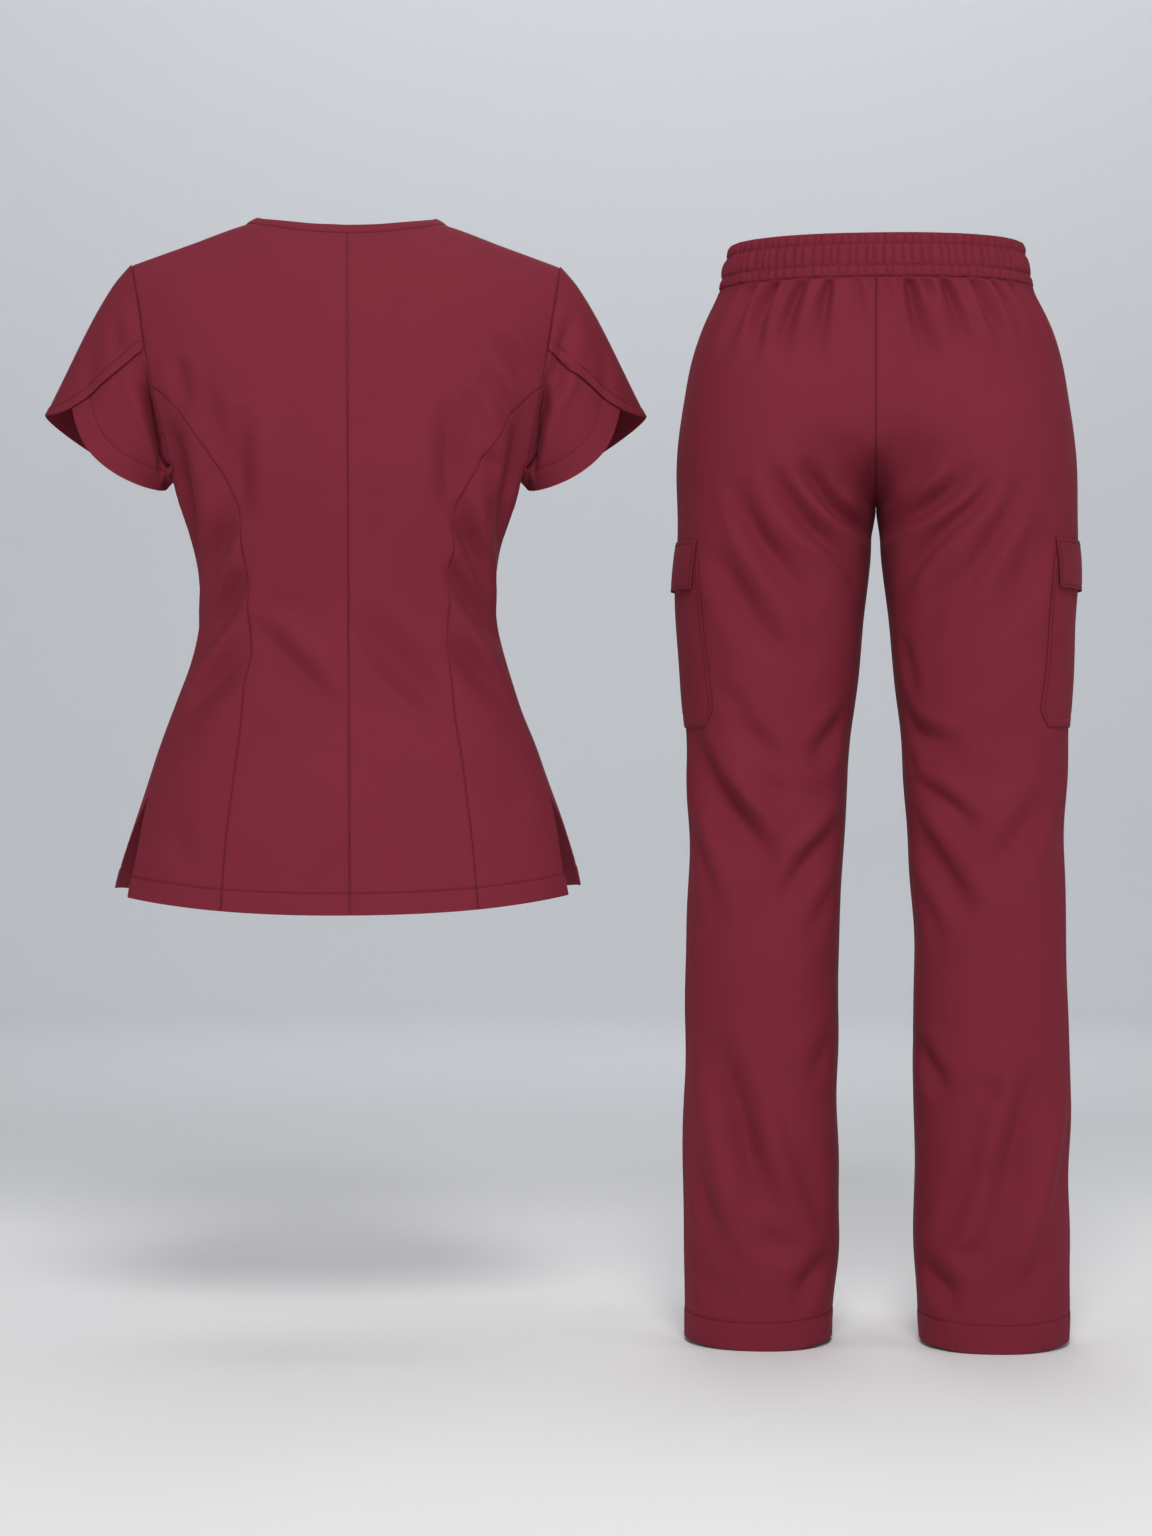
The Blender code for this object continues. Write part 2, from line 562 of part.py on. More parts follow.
def top_half():
    """The +X half of the body as three grids: centre back, side back and front."""
    upper, lower = armhole_heights()
    seam = steps((PRINCESS_TOP, VENT_TOP - 2, HEM_BACK + 5), (SIDE_ROWS, VENT_ROWS))
    side = steps((UNDERARM, VENT_TOP, HEM_BACK_CORNER), (SIDE_ROWS, VENT_ROWS))
    side_front = steps((UNDERARM, VENT_TOP, HEM_FRONT_CORNER), (SIDE_ROWS, VENT_ROWS))

    side_seam = side_edge(side, "back")
    corner_angle = side_seam[-1, 0]
    princess = places(angle_at(smooth(PRINCESS_SEAM, "out", seam), seam), seam)
    princess[0, 0] = smooth(ARMHOLE, "back", PRINCESS_TOP)
    princess[-1, 1] = hem_height(princess[-1, 0], HEM_BACK, HEM_BACK_CORNER, corner_angle)
    armhole = places(smooth(ARMHOLE, "back", upper), upper)
    right = np.concatenate([armhole, princess[1:]])
    share = (right[0, 1] - right[:, 1]) / (right[0, 1] - right[-1, 1])
    left = places(0, NECKLINE[0].height + share * (HEM_BACK - NECKLINE[0].height))
    out = NECK_HALF * np.sin(np.linspace(0, math.pi / 2, NECK_COLUMNS + 1))
    neck_heights = smooth(NECKLINE, "height", out, by="out")
    neck = places(angle_at(out, neck_heights), neck_heights)
    hem_angles = np.linspace(0, princess[-1, 0], NECK_COLUMNS + SHOULDER_COLUMNS + 1)
    hem = places(hem_angles, hem_height(hem_angles, HEM_BACK, HEM_BACK_CORNER, corner_angle))
    centre_back = patch(left, right, np.concatenate([neck, shoulder_places(False)[1:]]), hem)

    armpit = places(smooth(ARMHOLE, "back", lower), lower)
    hem_angles = np.linspace(princess[-1, 0], corner_angle, SIDE_COLUMNS + 1)
    hem = places(hem_angles, hem_height(hem_angles, HEM_BACK, HEM_BACK_CORNER, corner_angle))
    side_back = patch(princess, side_seam, armpit, hem)

    down = np.concatenate([upper, lower[1:]])
    armhole = places(180 - smooth(ARMHOLE, "front", down), down)
    left = np.concatenate([armhole, side_edge(side_front, "front")[1:]])
    share = (left[0, 1] - left[:, 1]) / (left[0, 1] - left[-1, 1])
    right = places(180, -V_DEPTH + share * (HEM_FRONT + V_DEPTH))
    out = NECK_HALF * (1 - np.linspace(0, 1, V_COLUMNS + 1) ** 1.7)
    v_heights = -V_DEPTH * (1 - out / NECK_HALF)
    v_edge = places(angle_at(out, v_heights, True), v_heights)
    shoulder = shoulder_places(True)[::-1]
    hem_angles = np.linspace(left[-1, 0], 180, V_COLUMNS + SHOULDER_COLUMNS + 1)
    hem = places(hem_angles, hem_height(hem_angles, HEM_FRONT, HEM_FRONT_CORNER, hem_angles[0]))
    front = patch(left, right, np.concatenate([shoulder, v_edge[1:]]), hem)
    return tuple(top_point(grid[..., 0], grid[..., 1]) for grid in (centre_back, side_back, front))


def on_top(path, face):
    """(across, height) points laid on the body's back or front."""
    angles = angle_at(path[:, 0], path[:, 1], face == "front")
    laid = top_point(angles, path[:, 1])
    laid[:, 0] *= np.sign(path[:, 0])
    return laid


def top_body():
    """All panels of the body with their folds, by name."""
    halves = dict(zip(("top_back", "top_side_back", "top_front"), top_half()))
    grids = {}
    for name, grid in halves.items():
        grids[name + "_right"], grids[name + "_left"] = grid, mirrored(grid)
    normals = shared_normals(grids)
    for name, grid in grids.items():
        soft = np.clip(roll(np.abs(grid[..., 0]), grid[..., 2]) * 1.2 - 0.2, 0, 1)
        grids[name] = sunk(grid, normals[name], TOP_FOLDS, on_top, soft)
    return grids


def armhole_ring(grids, side):
    """The armhole's points from the underarm up the back, over the shoulder and down the front."""
    centre, side_back, front = (grids[name + side] for name in ("top_back", "top_side_back", "top_front"))
    if side == "_left":
        centre, side_back, front = (mirrored(grid) for grid in (centre, side_back, front))
    top_rows = len(UPPER_ARMHOLE_HEIGHTS) - 1
    down_back = np.concatenate([centre[: top_rows + 1, -1], side_back[0, 1:]])
    down_front = front[: top_rows + LOWER_ARMHOLE_ROWS + 1, 0]
    return np.concatenate([down_back[::-1], down_front[1:]])


def ring_turns(ring):
    """Each armhole point's turn: 180 at the underarm's back, 0 at the shoulder, -180 at its front."""
    tip, turns = len(ring) // 2, []
    for half, sign in ((ring[: tip + 1][::-1], 1), (ring[tip:], -1)):
        along = distances(half)
        turns.append(sign * 180 * along / along[-1])
    return np.concatenate([turns[0][::-1], turns[1][1:]])


def sleeve_opening(turns):
    """Where each turn reaches the sleeve's hem."""
    outer, inner = np.array(SLEEVE_OUTER_CORNER), np.array(SLEEVE_INNER_CORNER)
    middle, reach = (outer + inner) / 2, (outer - inner) / 2
    turns = np.radians(turns)
    flat = middle + np.cos(turns)[:, None] * reach
    points = np.column_stack([flat[:, 0], -SLEEVE_HALF_DEPTH * np.sin(turns), flat[:, 1]])
    belly = np.where(turns > 0, BACK_HEM_BELLY, FRONT_HEM_BELLY) * np.abs(np.sin(turns))
    return points + belly[:, None] * np.array(SLEEVE_AXIS)


def sleeve_points(ring, turns, reaches):
    """Points of the sleeve: rows of reaches from the armhole (0) to the hem (1), a column for each turn."""
    hem = sleeve_opening(turns)
    length = np.linalg.norm(hem - ring, axis=1)[:, None]
    low = (1 - np.cos(np.radians(turns)))[:, None] / 2
    start = unit((1 - low) * np.array(SLEEVE_CAP_DIRECTION) + low * np.array(SLEEVE_AXIS)) * length
    finish = np.array(SLEEVE_AXIS) * length
    t = reaches[..., None]
    line = (1 + 2 * t) * (1 - t) ** 2 * ring + t**2 * (3 - 2 * t) * hem
    return line + t * (1 - t) ** 2 * start - t**2 * (1 - t) * finish


def on_sleeve(ring, turns):
    """A function that lays (turn, reach) points on the sleeve."""

    def lay(path, face):
        rim = np.column_stack([np.interp(path[:, 0], turns[::-1], values[::-1]) for values in ring.T])
        return sleeve_points(rim, path[:, 0], path[None, :, 1])[0]

    return lay


def petal(ring, turns, edge, sign):
    """One petal's grid: from the underarm on its own side, over the top, to where its edge meets the seam."""
    last = len(ring) // 2 + OVERLAP_COLUMNS
    own = slice(0, last + 1) if sign > 0 else slice(len(ring) - last - 1, len(ring))
    reach = smooth(edge, "reach", -sign * turns[own], by="turn")
    rows = np.linspace(0, 1, PETAL_ROWS + 1)[:, None] * reach
    return sleeve_points(ring[own], turns[own], rows), own


def build_sleeve(side, base_normals, ring, turns, stand):
    """The two petals of one sleeve, joined at the underarm. The front petal lies over the back petal."""
    petals, own = {}, {}
    for which, edge, sign in (("back", BACK_PETAL_EDGE, 1), ("front", FRONT_PETAL_EDGE, -1)):
        petals[which], own[which] = petal(ring, turns, edge, sign)
    normals = shared_normals(petals)
    for which, grid in petals.items():
        petals[which] = sunk(grid, normals[which], SLEEVE_FOLDS, on_sleeve(ring, turns))
        petals[which][0] = ring[own[which]]
    normals = shared_normals(petals)
    over = np.clip((turns[own["front"]] + 115) / 30, 0, 1)
    lifts = {"back": np.array([0.0]), "front": LAYER_GAP * over + CLOTH * (over - 1)}
    for which, grid in petals.items():
        normals[which][0] = base_normals[own[which]]
        outward, lift = normals[which], lifts[which]
        if side == "_left":
            grid, outward, lift = mirrored(grid), mirrored(outward), lift[::-1]
        cloth_piece(f"sleeve{side}_{which}_petal", grid, outward, TOP_COLOUR, stand, lift=lift)


def build_neckband(grids, normals, stand):
    """A band round the neck: it carries on from the neckline in the body's surface, mitred at the V."""
    back, front = slice(0, NECK_COLUMNS + 1), slice(SHOULDER_COLUMNS, None)

    def loop(of):
        halves = [of["top_back_right"][0, back], of["top_front_right"][0, front]]
        right = np.concatenate([halves[0], halves[1][1:]])
        return np.concatenate([right, (right * (-1, 1, 1))[::-1][1:-1]])

    edge, outward = loop(grids), loop(normals)
    along = unit(np.roll(edge, -1, axis=0) - edge)
    up_next = -unit(np.cross(along, outward))
    up_last = np.roll(up_next, 1, axis=0)
    up = unit(up_next + up_last)
    up *= NECKBAND_WIDTH / np.sum(up * up_last, axis=1, keepdims=True)
    grid, directions = np.stack([edge + up, edge]), np.stack([outward, outward])
    cloth_piece("neckband", grid, directions, TOP_COLOUR, stand, closed=True, thick=NECKBAND_THICK)


def build_top(stand):
    grids = top_body()
    rings = {side: armhole_ring(grids, side) for side in ("_right", "_left")}
    turns = {side: ring_turns(ring) for side, ring in rings.items()}
    both = dict(grids)
    rows = np.linspace(0, 1, PETAL_ROWS + 1)[:, None]
    for side, ring in rings.items():
        tube = sleeve_points(ring, turns[side], rows + 0 * turns[side])
        both["tube" + side] = mirrored(tube) if side == "_left" else tube
    normals = shared_normals(both)
    for name in ("top_back_right", "top_back_left", "top_side_back_right", "top_side_back_left"):
        cloth_piece(name, grids[name], normals[name], TOP_COLOUR, stand)
    whole_front = np.concatenate([grids["top_front_right"], grids["top_front_left"][:, 1:]], axis=1)
    front_normals = np.concatenate([normals["top_front_right"], normals["top_front_left"][:, 1:]], axis=1)
    cloth_piece("top_front", whole_front, front_normals, TOP_COLOUR, stand)
    for side, ring in rings.items():
        tube = normals["tube" + side]
        base = (mirrored(tube) if side == "_left" else tube)[0]
        build_sleeve(side, base, ring, turns[side], stand)
    build_neckband(grids, normals, stand)


# The trousers ------------------------------------------------------------------------------------------


def leg_outline(height):
    """One trouser half at a height: a dense line from its back seam round the outside to its front seam."""
    outer, inner, peak, back, front = (smooth(LEG_LEVELS, name, height) for name in Level._fields[1:])
    inner = max(inner, 0.0) if height < CROTCH else 0.0
    rise = np.clip((height - CROTCH) / SEAT_RISE, 0, 1)
    seam_share = math.sqrt(1 - (1 - rise) ** 2)
    dive = np.clip((CROTCH + SEAT_BLEND - height) / SEAT_BLEND, 0, 1)
    turn = np.linspace(0, math.pi / 2, 60)
    power = 2 / LEG_SQUARENESS
    towards = 1 - np.sin(turn) ** power
    round_end = np.maximum(1 - towards**LEG_SQUARENESS, 0) ** (1 / LEG_SQUARENESS)
    soft_end = 1 - towards**2 * (3 - 2 * towards)
    ends = dive * round_end + (1 - dive) * soft_end
    inside = np.column_stack([peak - (peak - inner) * towards, seam_share + (1 - seam_share) * ends])
    outside = np.column_stack([peak + (outer - peak) * np.sin(turn) ** power, np.cos(turn) ** power])
    half = np.concatenate([inside[:-1], outside])
    behind, before = half * (1, -back), half[::-1] * (1, front)
    return np.concatenate([behind, before[1:]])


def seat_steps(length, steady, count):
    """Distances from a pocket's edge to the middle seam, where all that isn't steady is taken up."""
    share = np.linspace(0, 1, count + 1)
    return steady * share + (length - steady) * share**4


def plain_half():
    """The +X half without folds: a row for each level, with columns split at the pocket and the outseam."""
    lines = [leg_outline(height) for height in LEG_ROWS]
    along = [distances(line) for line in lines]
    widest = np.array([run[len(run) // 2] for run in along])
    behind = widest - POCKET_BACK
    before = np.array([run[-1] for run in along]) - widest - POCKET_FRONT
    steady_behind, steady_before, rows = eased(behind), eased(before), []
    for i, height in enumerate(LEG_ROWS):
        seat = behind[i] - seat_steps(behind[i], steady_behind[i], SEAT_COLUMNS)[::-1]
        marks = (behind[i], widest[i] - OUTSEAM_BACK, widest[i] + POCKET_FRONT)
        pocket = steps(marks, (POCKET_BACK_COLUMNS, POCKET_FRONT_COLUMNS))
        lap = pocket[-1] + seat_steps(before[i], steady_before[i], LAP_COLUMNS)
        wanted = np.concatenate([seat, pocket[1:], lap[1:]])
        flat = np.column_stack([np.interp(wanted, along[i], values) for values in lines[i].T])
        rows.append(np.column_stack([flat, np.full(len(flat), float(height))]))
    return np.stack(rows)


def on_leg(path, face):
    """(across, height) points laid on the trousers' back or front."""
    laid = []
    for across, height in path:
        line = leg_outline(height)
        middle = len(line) // 2
        half = line[middle:][::-1] if face == "front" else line[: middle + 1]
        laid.append((across, np.interp(abs(across), half[:, 0], half[:, 1]), height))
    return np.array(laid)


def trouser_halves():
    """Both halves of the trousers with their folds, each as one grid from its back seam to its front seam."""
    half = plain_half()
    rise = HEM_RISE_SIDE * (np.abs(half[-1, :, 0] - LEG_LEVELS[-1].peak) / 70) ** 2
    half[-1, :, 2] += np.clip(rise, 0, HEM_RISE_SIDE)
    halves = {"_right": half, "_left": mirrored(half)}
    normals = shared_normals(halves)
    for side, grid in halves.items():
        soft = np.clip((LEG_ROWS[0] - grid[..., 2]) / WAIST_FADE, 0, 1)
        halves[side] = sunk(grid, normals[side], TROUSER_FOLDS, on_leg, soft, own_side_below=CROTCH - 1)
    return halves


def build_pocket(side, half, normals, stand):
    """A cargo pocket and its flap over one outseam, raised from the trouser half's own points."""
    first = SEAT_COLUMNS
    last = first + POCKET_BACK_COLUMNS + POCKET_FRONT_COLUMNS
    columns = slice(first, last + 1)
    if side == "_left":
        columns = slice(half.shape[1] - 1 - last, half.shape[1] - first)
    rows = [LEG_ROWS.index(height) for height in (POCKET_TOP, POCKET_BOTTOM)]
    grid = half[rows[0] : rows[1] + 1, columns].copy()
    outward = normals[rows[0] : rows[1] + 1, columns]
    for end, beside in ((0, 1), (-1, -2)):
        grid[-1, end] += CORNER_CUT * (grid[-1, beside] - grid[-1, end])
    lift = np.zeros(grid.shape[:2])
    lift[1:-1, 1:-1] = POCKET_PUFF
    lift[0, 1:-1] = POCKET_PUFF / 6
    cloth_piece("pocket" + side, grid, outward, TROUSERS_COLOUR, stand, lift=SEAM_GAP + lift)

    start = LEG_ROWS.index(FLAP_TOP)
    grid = half[start : start + 3, columns].copy()
    outward = normals[start : start + 3, columns]
    for row, share in ((1, 0.15), (2, CORNER_CUT)):
        for end, beside in ((0, 1), (-1, -2)):
            grid[row, end] += share * (grid[row, beside] - grid[row, end])
    lift = np.zeros(grid.shape[:2])
    lift[1] = CLOTH + SEAM_GAP + POCKET_PUFF / 6
    lift[2] = FLAP_LIFT
    lift[2, [0, -1]] = FLAP_LIFT - 1.5
    cloth_piece("pocket_flap" + side, grid, outward, TROUSERS_COLOUR, stand, lift=SEAM_GAP + lift)


def band_outline(level, columns):
    """An even ring of points round the waistband at a level, from the centre back."""
    turn = np.linspace(0, 2 * math.pi, 721)
    power = 2 / TOP_SQUARENESS
    sine, cosine = np.sin(turn), np.cos(turn)
    out = level.outer * np.sign(sine) * np.abs(sine) ** power
    depth = np.where(cosine > 0, -level.back, level.front) * np.abs(cosine) ** power
    line = resampled(np.column_stack([out, depth]), columns)[:-1]
    return np.column_stack([line, np.full(columns, level.height)])


def build_waistband(stand):
    """The elastic band: its outside gathered into WAIST_GATHERS ridges, over a plain inside."""
    fine, coarse = 2 * WAIST_GATHERS, WAIST_GATHERS // 2
    per = fine // coarse
    outer = np.stack([band_outline(level, fine) for level in WAISTBAND])
    inner = np.stack([band_outline(level, coarse) for level in (WAISTBAND[0], WAISTBAND[-1])])
    outward = shared_normals({"band": outer}, closed=("band",))["band"]
    inward = shared_normals({"band": inner}, closed=("band",))["band"]
    place = np.arange(fine)
    ridge = (place % 2) * (0.85 + 0.15 * np.sin(place * 0.61) + 0.12 * np.sin(place * 0.23))
    puff = np.array([level.puff for level in WAISTBAND])[:, None]
    outer = outer + outward * (GATHER_HEIGHT * ridge * puff)[..., None]
    inner = inner - inward * BAND_THIN
    outer[-1, :, 2] += SEAM_GAP / 2
    inner[-1, :, 2] += SEAM_GAP / 2
    rows, faces, start = len(WAISTBAND), [], len(WAISTBAND) * fine
    for r in range(rows - 1):
        for c in range(fine):
            a, b = r * fine + c, (r + 1) * fine + c
            d, e = (r + 1) * fine + (c + 1) % fine, r * fine + (c + 1) % fine
            faces += [(a, b, d), (a, d, e)]
    for k in range(coarse):
        after = (k + 1) % coarse
        faces.append((start + k, start + coarse + after, start + coarse + k))
        faces.append((start + k, start + after, start + coarse + after))
        for row, ring, turn in ((0, start, 1), (rows - 1, start + coarse, -1)):
            edge = [row * fine + (k * per + step) % fine for step in range(per + 1)]
            middle = edge[per // 2]
            fan = [(ring + k, edge[step], edge[step + 1]) for step in range(per // 2)]
            fan += [(ring + after, edge[step], edge[step + 1]) for step in range(per // 2, per)]
            fan.append((ring + k, middle, ring + after))
            faces += [triangle[::turn] for triangle in fan]
    points = np.concatenate([outer.reshape(-1, 3), inner.reshape(-1, 3)])
    new_piece("waistband", points, faces, TROUSERS_COLOUR, stand)


def build_trousers(stand):
    halves = trouser_halves()
    back_last = SEAT_COLUMNS + POCKET_BACK_COLUMNS
    normals = shared_normals(halves)
    for side, half in halves.items():
        cuts = (("_back", slice(0, back_last + 1)), ("_front", slice(back_last, None)))
        for name, columns in cuts:
            if side == "_left":
                width = half.shape[1]
                columns = slice(width - 1 - (columns.stop or width) + 1, width - columns.start)
            cloth_piece(
                "trouser" + name + side, half[:, columns], normals[side][:, columns], TROUSERS_COLOUR, stand
            )
        build_pocket(side, half, normals[side], stand)
    build_waistband(stand)


def stand_at(name, place, turn, lean=0.0):
    """The empty that places a whole garment, turned about Z once it leans."""
    stand = bpy.data.objects.new(name, None)
    stand.location = [value * MM for value in place]
    stand.rotation_euler = (0.0, math.radians(lean), math.radians(turn))
    bpy.context.scene.collection.objects.link(stand)
    return stand


for leftover in list(bpy.data.objects):
    bpy.data.objects.remove(leftover)
build_top(stand_at("top_stand", (0, 0, 0), TOP_TURN, TOP_LEAN))
build_trousers(stand_at("trousers_stand", TROUSERS_PLACE, TROUSERS_TURN))
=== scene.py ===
"""Medical scrubs in worn form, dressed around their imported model: a fitted top with petal sleeves, and
cargo trousers with an elastic waist.

Each garment is worked out in its own millimetres, with its back towards -Y, and is then turned and put in
its place. A panel is a grid of points on its outer face. Its rows run down the garment, and its columns
run to the right as seen from outside. The top's heights are measured from its neck points, and the
trousers' heights from the ground under their hems.
"""

import math
from collections import namedtuple

import bpy
import numpy as np
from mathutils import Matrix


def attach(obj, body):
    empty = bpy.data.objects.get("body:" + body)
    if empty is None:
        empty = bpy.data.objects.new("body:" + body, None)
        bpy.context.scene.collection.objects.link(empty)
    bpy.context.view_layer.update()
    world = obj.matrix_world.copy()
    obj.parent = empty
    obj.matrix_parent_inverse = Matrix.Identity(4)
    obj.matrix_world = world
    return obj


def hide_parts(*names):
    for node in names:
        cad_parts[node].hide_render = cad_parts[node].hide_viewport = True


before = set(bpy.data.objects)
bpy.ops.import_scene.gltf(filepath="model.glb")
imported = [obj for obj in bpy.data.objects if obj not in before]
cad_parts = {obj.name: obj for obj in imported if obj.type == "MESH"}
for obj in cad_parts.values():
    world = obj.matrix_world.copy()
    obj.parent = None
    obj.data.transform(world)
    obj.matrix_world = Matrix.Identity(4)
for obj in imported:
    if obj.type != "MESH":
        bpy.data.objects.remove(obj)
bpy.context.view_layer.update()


# The top's body ----------------------------------------------------------------------------------------
# Two backs, two side backs and one front, cut from burgundy stretch twill and sewn with princess seams,
# shoulder seams and side seams that end in vents. The hem is turned up and stitched. The cut alone gives
# the body its shape.


def table(columns, *rows):
    """Rows of values whose columns have names."""
    return tuple(map(namedtuple("Row", columns)._make, rows))


Garment = namedtuple("Garment", "place turn lean slot twill")
TOP = Garment((0.0, 0.0, 0.0), 3.7, -0.25, "top_cloth", "top_twill")

TOP_SECTIONS = table(
    "height half_width back front",
    (20, 230, 76, 64),
    (-38, 228, 86, 80),
    (-67, 225, 94, 91),
    (-96, 221, 100, 101),
    (-120, 217, 104, 109),
    (-148, 210, 107, 118),
    (-169, 202, 108, 122),
    (-195, 189, 108, 127),
    (-220, 174, 107, 130),
    (-240, 162, 106, 131),
    (-257, 157.5, 103, 130),
    (-276, 150.5, 100, 127),
    (-295, 144.5, 96, 122),
    (-332, 138.5, 90, 111),
    (-369, 139, 86, 103),
    (-407, 146.5, 88, 99),
    (-444, 159, 94, 99),
    (-500, 180, 105, 104),
    (-575, 205, 118, 111),
    (-612, 216, 122, 114),
    (-645, 222, 125, 115),
)
TOP_SQUARENESS = 2.3
SHOULDER_ROLL = 85

SHOULDER_RIDGE = table(
    "out height",
    (0, 14),
    (50, 10.5),
    (94, 0),
    (146, -19),
    (200, -38.5),
    (240, -53),
)
NECKLINE = table("out height", (0, -16), (40, -13.6), (74, -6.6), (94, 0))
NECK_HALF = 94
SHOULDER_HALF = 199.7
V_DEPTH = 170

ARMHOLE = table(
    "height back front",
    (-38.4, 59.2, 59.2),
    (-67, 57.8, 56.4),
    (-96, 56.7, 54.1),
    (-120, 56.6, 53.0),
    (-148, 57.4, 52.8),
    (-169, 59.4, 54.5),
    (-195.5, 63.3, 59.4),
    (-220, 71.2, 68.6),
    (-237, 82.0, 82.0),
    (-240, 90.0, 90.0),
)
ARMHOLE_TOP, OVERLAP_END, PRINCESS_TOP, UNDERARM = -38.4, -122, -158, -240

PRINCESS_SEAM = table(
    "height out",
    (-158, 178.2),
    (-169, 165.4),
    (-185, 151.6),
    (-201, 139.5),
    (-224, 124.6),
    (-243, 113.8),
    (-265, 104.5),
    (-288, 98.5),
    (-341, 93.0),
    (-380, 91.0),
    (-432, 94.0),
    (-509, 103.8),
    (-588, 113.1),
    (-640, 116.8),
)

# The side seam lies behind the widest line. Below VENT_TOP the back's edge and the front's part.
SIDE_SEAM = table(
    "height angle",
    (-240, 90),
    (-300, 86),
    (-380, 82),
    (-460, 78),
    (-530, 75.5),
)
VENT = table(
    "height back front",
    (-530, 75.5, 75.5),
    (-550, 72.5, 79.0),
    (-570, 69.7, 84.5),
    (-590, 67.2, 88.5),
    (-630, 66.0, 90.0),
)
VENT_TOP = -530
PRINCESS_VENT, PRINCESS_END = -532, -636
HEM_BACK, HEM_BACK_CORNER = -641, -626
HEM_FRONT, HEM_FRONT_CORNER = -634, -619
TOP_HEM = 20

NECK_COLUMNS, SHOULDER_COLUMNS, V_COLUMNS, SIDE_COLUMNS = 28, 24, 30, 24
OVERLAP_ROWS, ARMHOLE_ROWS, SIDE_ROWS, VENT_ROWS = 26, 9, 84, 28
# A panel's lines are evened out over EVENING of them, and follow its cut edges only close to these. Those
# that end in the V's edge crowd towards its point. Extra lines lie at parts of the first and the last step.
EVENING, EDGE_HUG, LONG_SIDE = 20, 4, 100
V_CROWDING = 1.7
EDGE_LINES = np.array((0.25, 0.6))
# Creases and waves fade as the shoulders round over, and are gone close to their ridge.
RIDGE_CALM = 0.2

CLOTH = 1.1
SEAM_GAP = 0.3
EDGE_BULGE = 0.14
SEAM_SINK, SEAM_WIDTH = 0.7, 0.9
STITCH_SINK, STITCH_WIDTH = 0.45, 1.3
HEM_THICKER, HEM_RISE = 0.5, 1.5
HEM_ROW_STEP = 0.22
FAR = 40.0
Cloth = namedtuple("Cloth", "seam stitch relief")

# Where a piece's bakes lie in its square: its outer face, its inner face, and between them its rims.
BAKE_SHARE = np.array((0.44, 0.96))
BAKE_OUTER, BAKE_INNER = (0.02, 0.02), (0.54, 0.02)
RIM_START, RIM_APART, RIM_INSET, RIM_WIDTH = 0.475, 0.03, 0.008, 0.006

# Creases: troughs along a path of (across, height) points on the garment's back or front, and ridges where
# the depth is below 0. A lean above 0 makes the side to the right of the path the gentler one. One that is
# held starts at full depth, and at HELD_START of its width, at the waist's seam. A low bank rises on each
# side of a trough.
CREASE_REACH, CREASE_POINTS = 3.4, 96
HELD_START, HELD_SPREAD = 0.55, 0.65
BANK_HEIGHT, BANK_AWAY, BANK_WIDTH = 0.3, 1.9, 0.8
FADE_POWER = 0.9
Crease = namedtuple("Crease", "face held width depth lean path")


def creases(face, rows, held=False):
    """The creases of one face, whose rows give a width, a depth, a lean and the points of a path."""
    return tuple(Crease(face, held, width, depth, lean, path) for width, depth, lean, *path in rows)


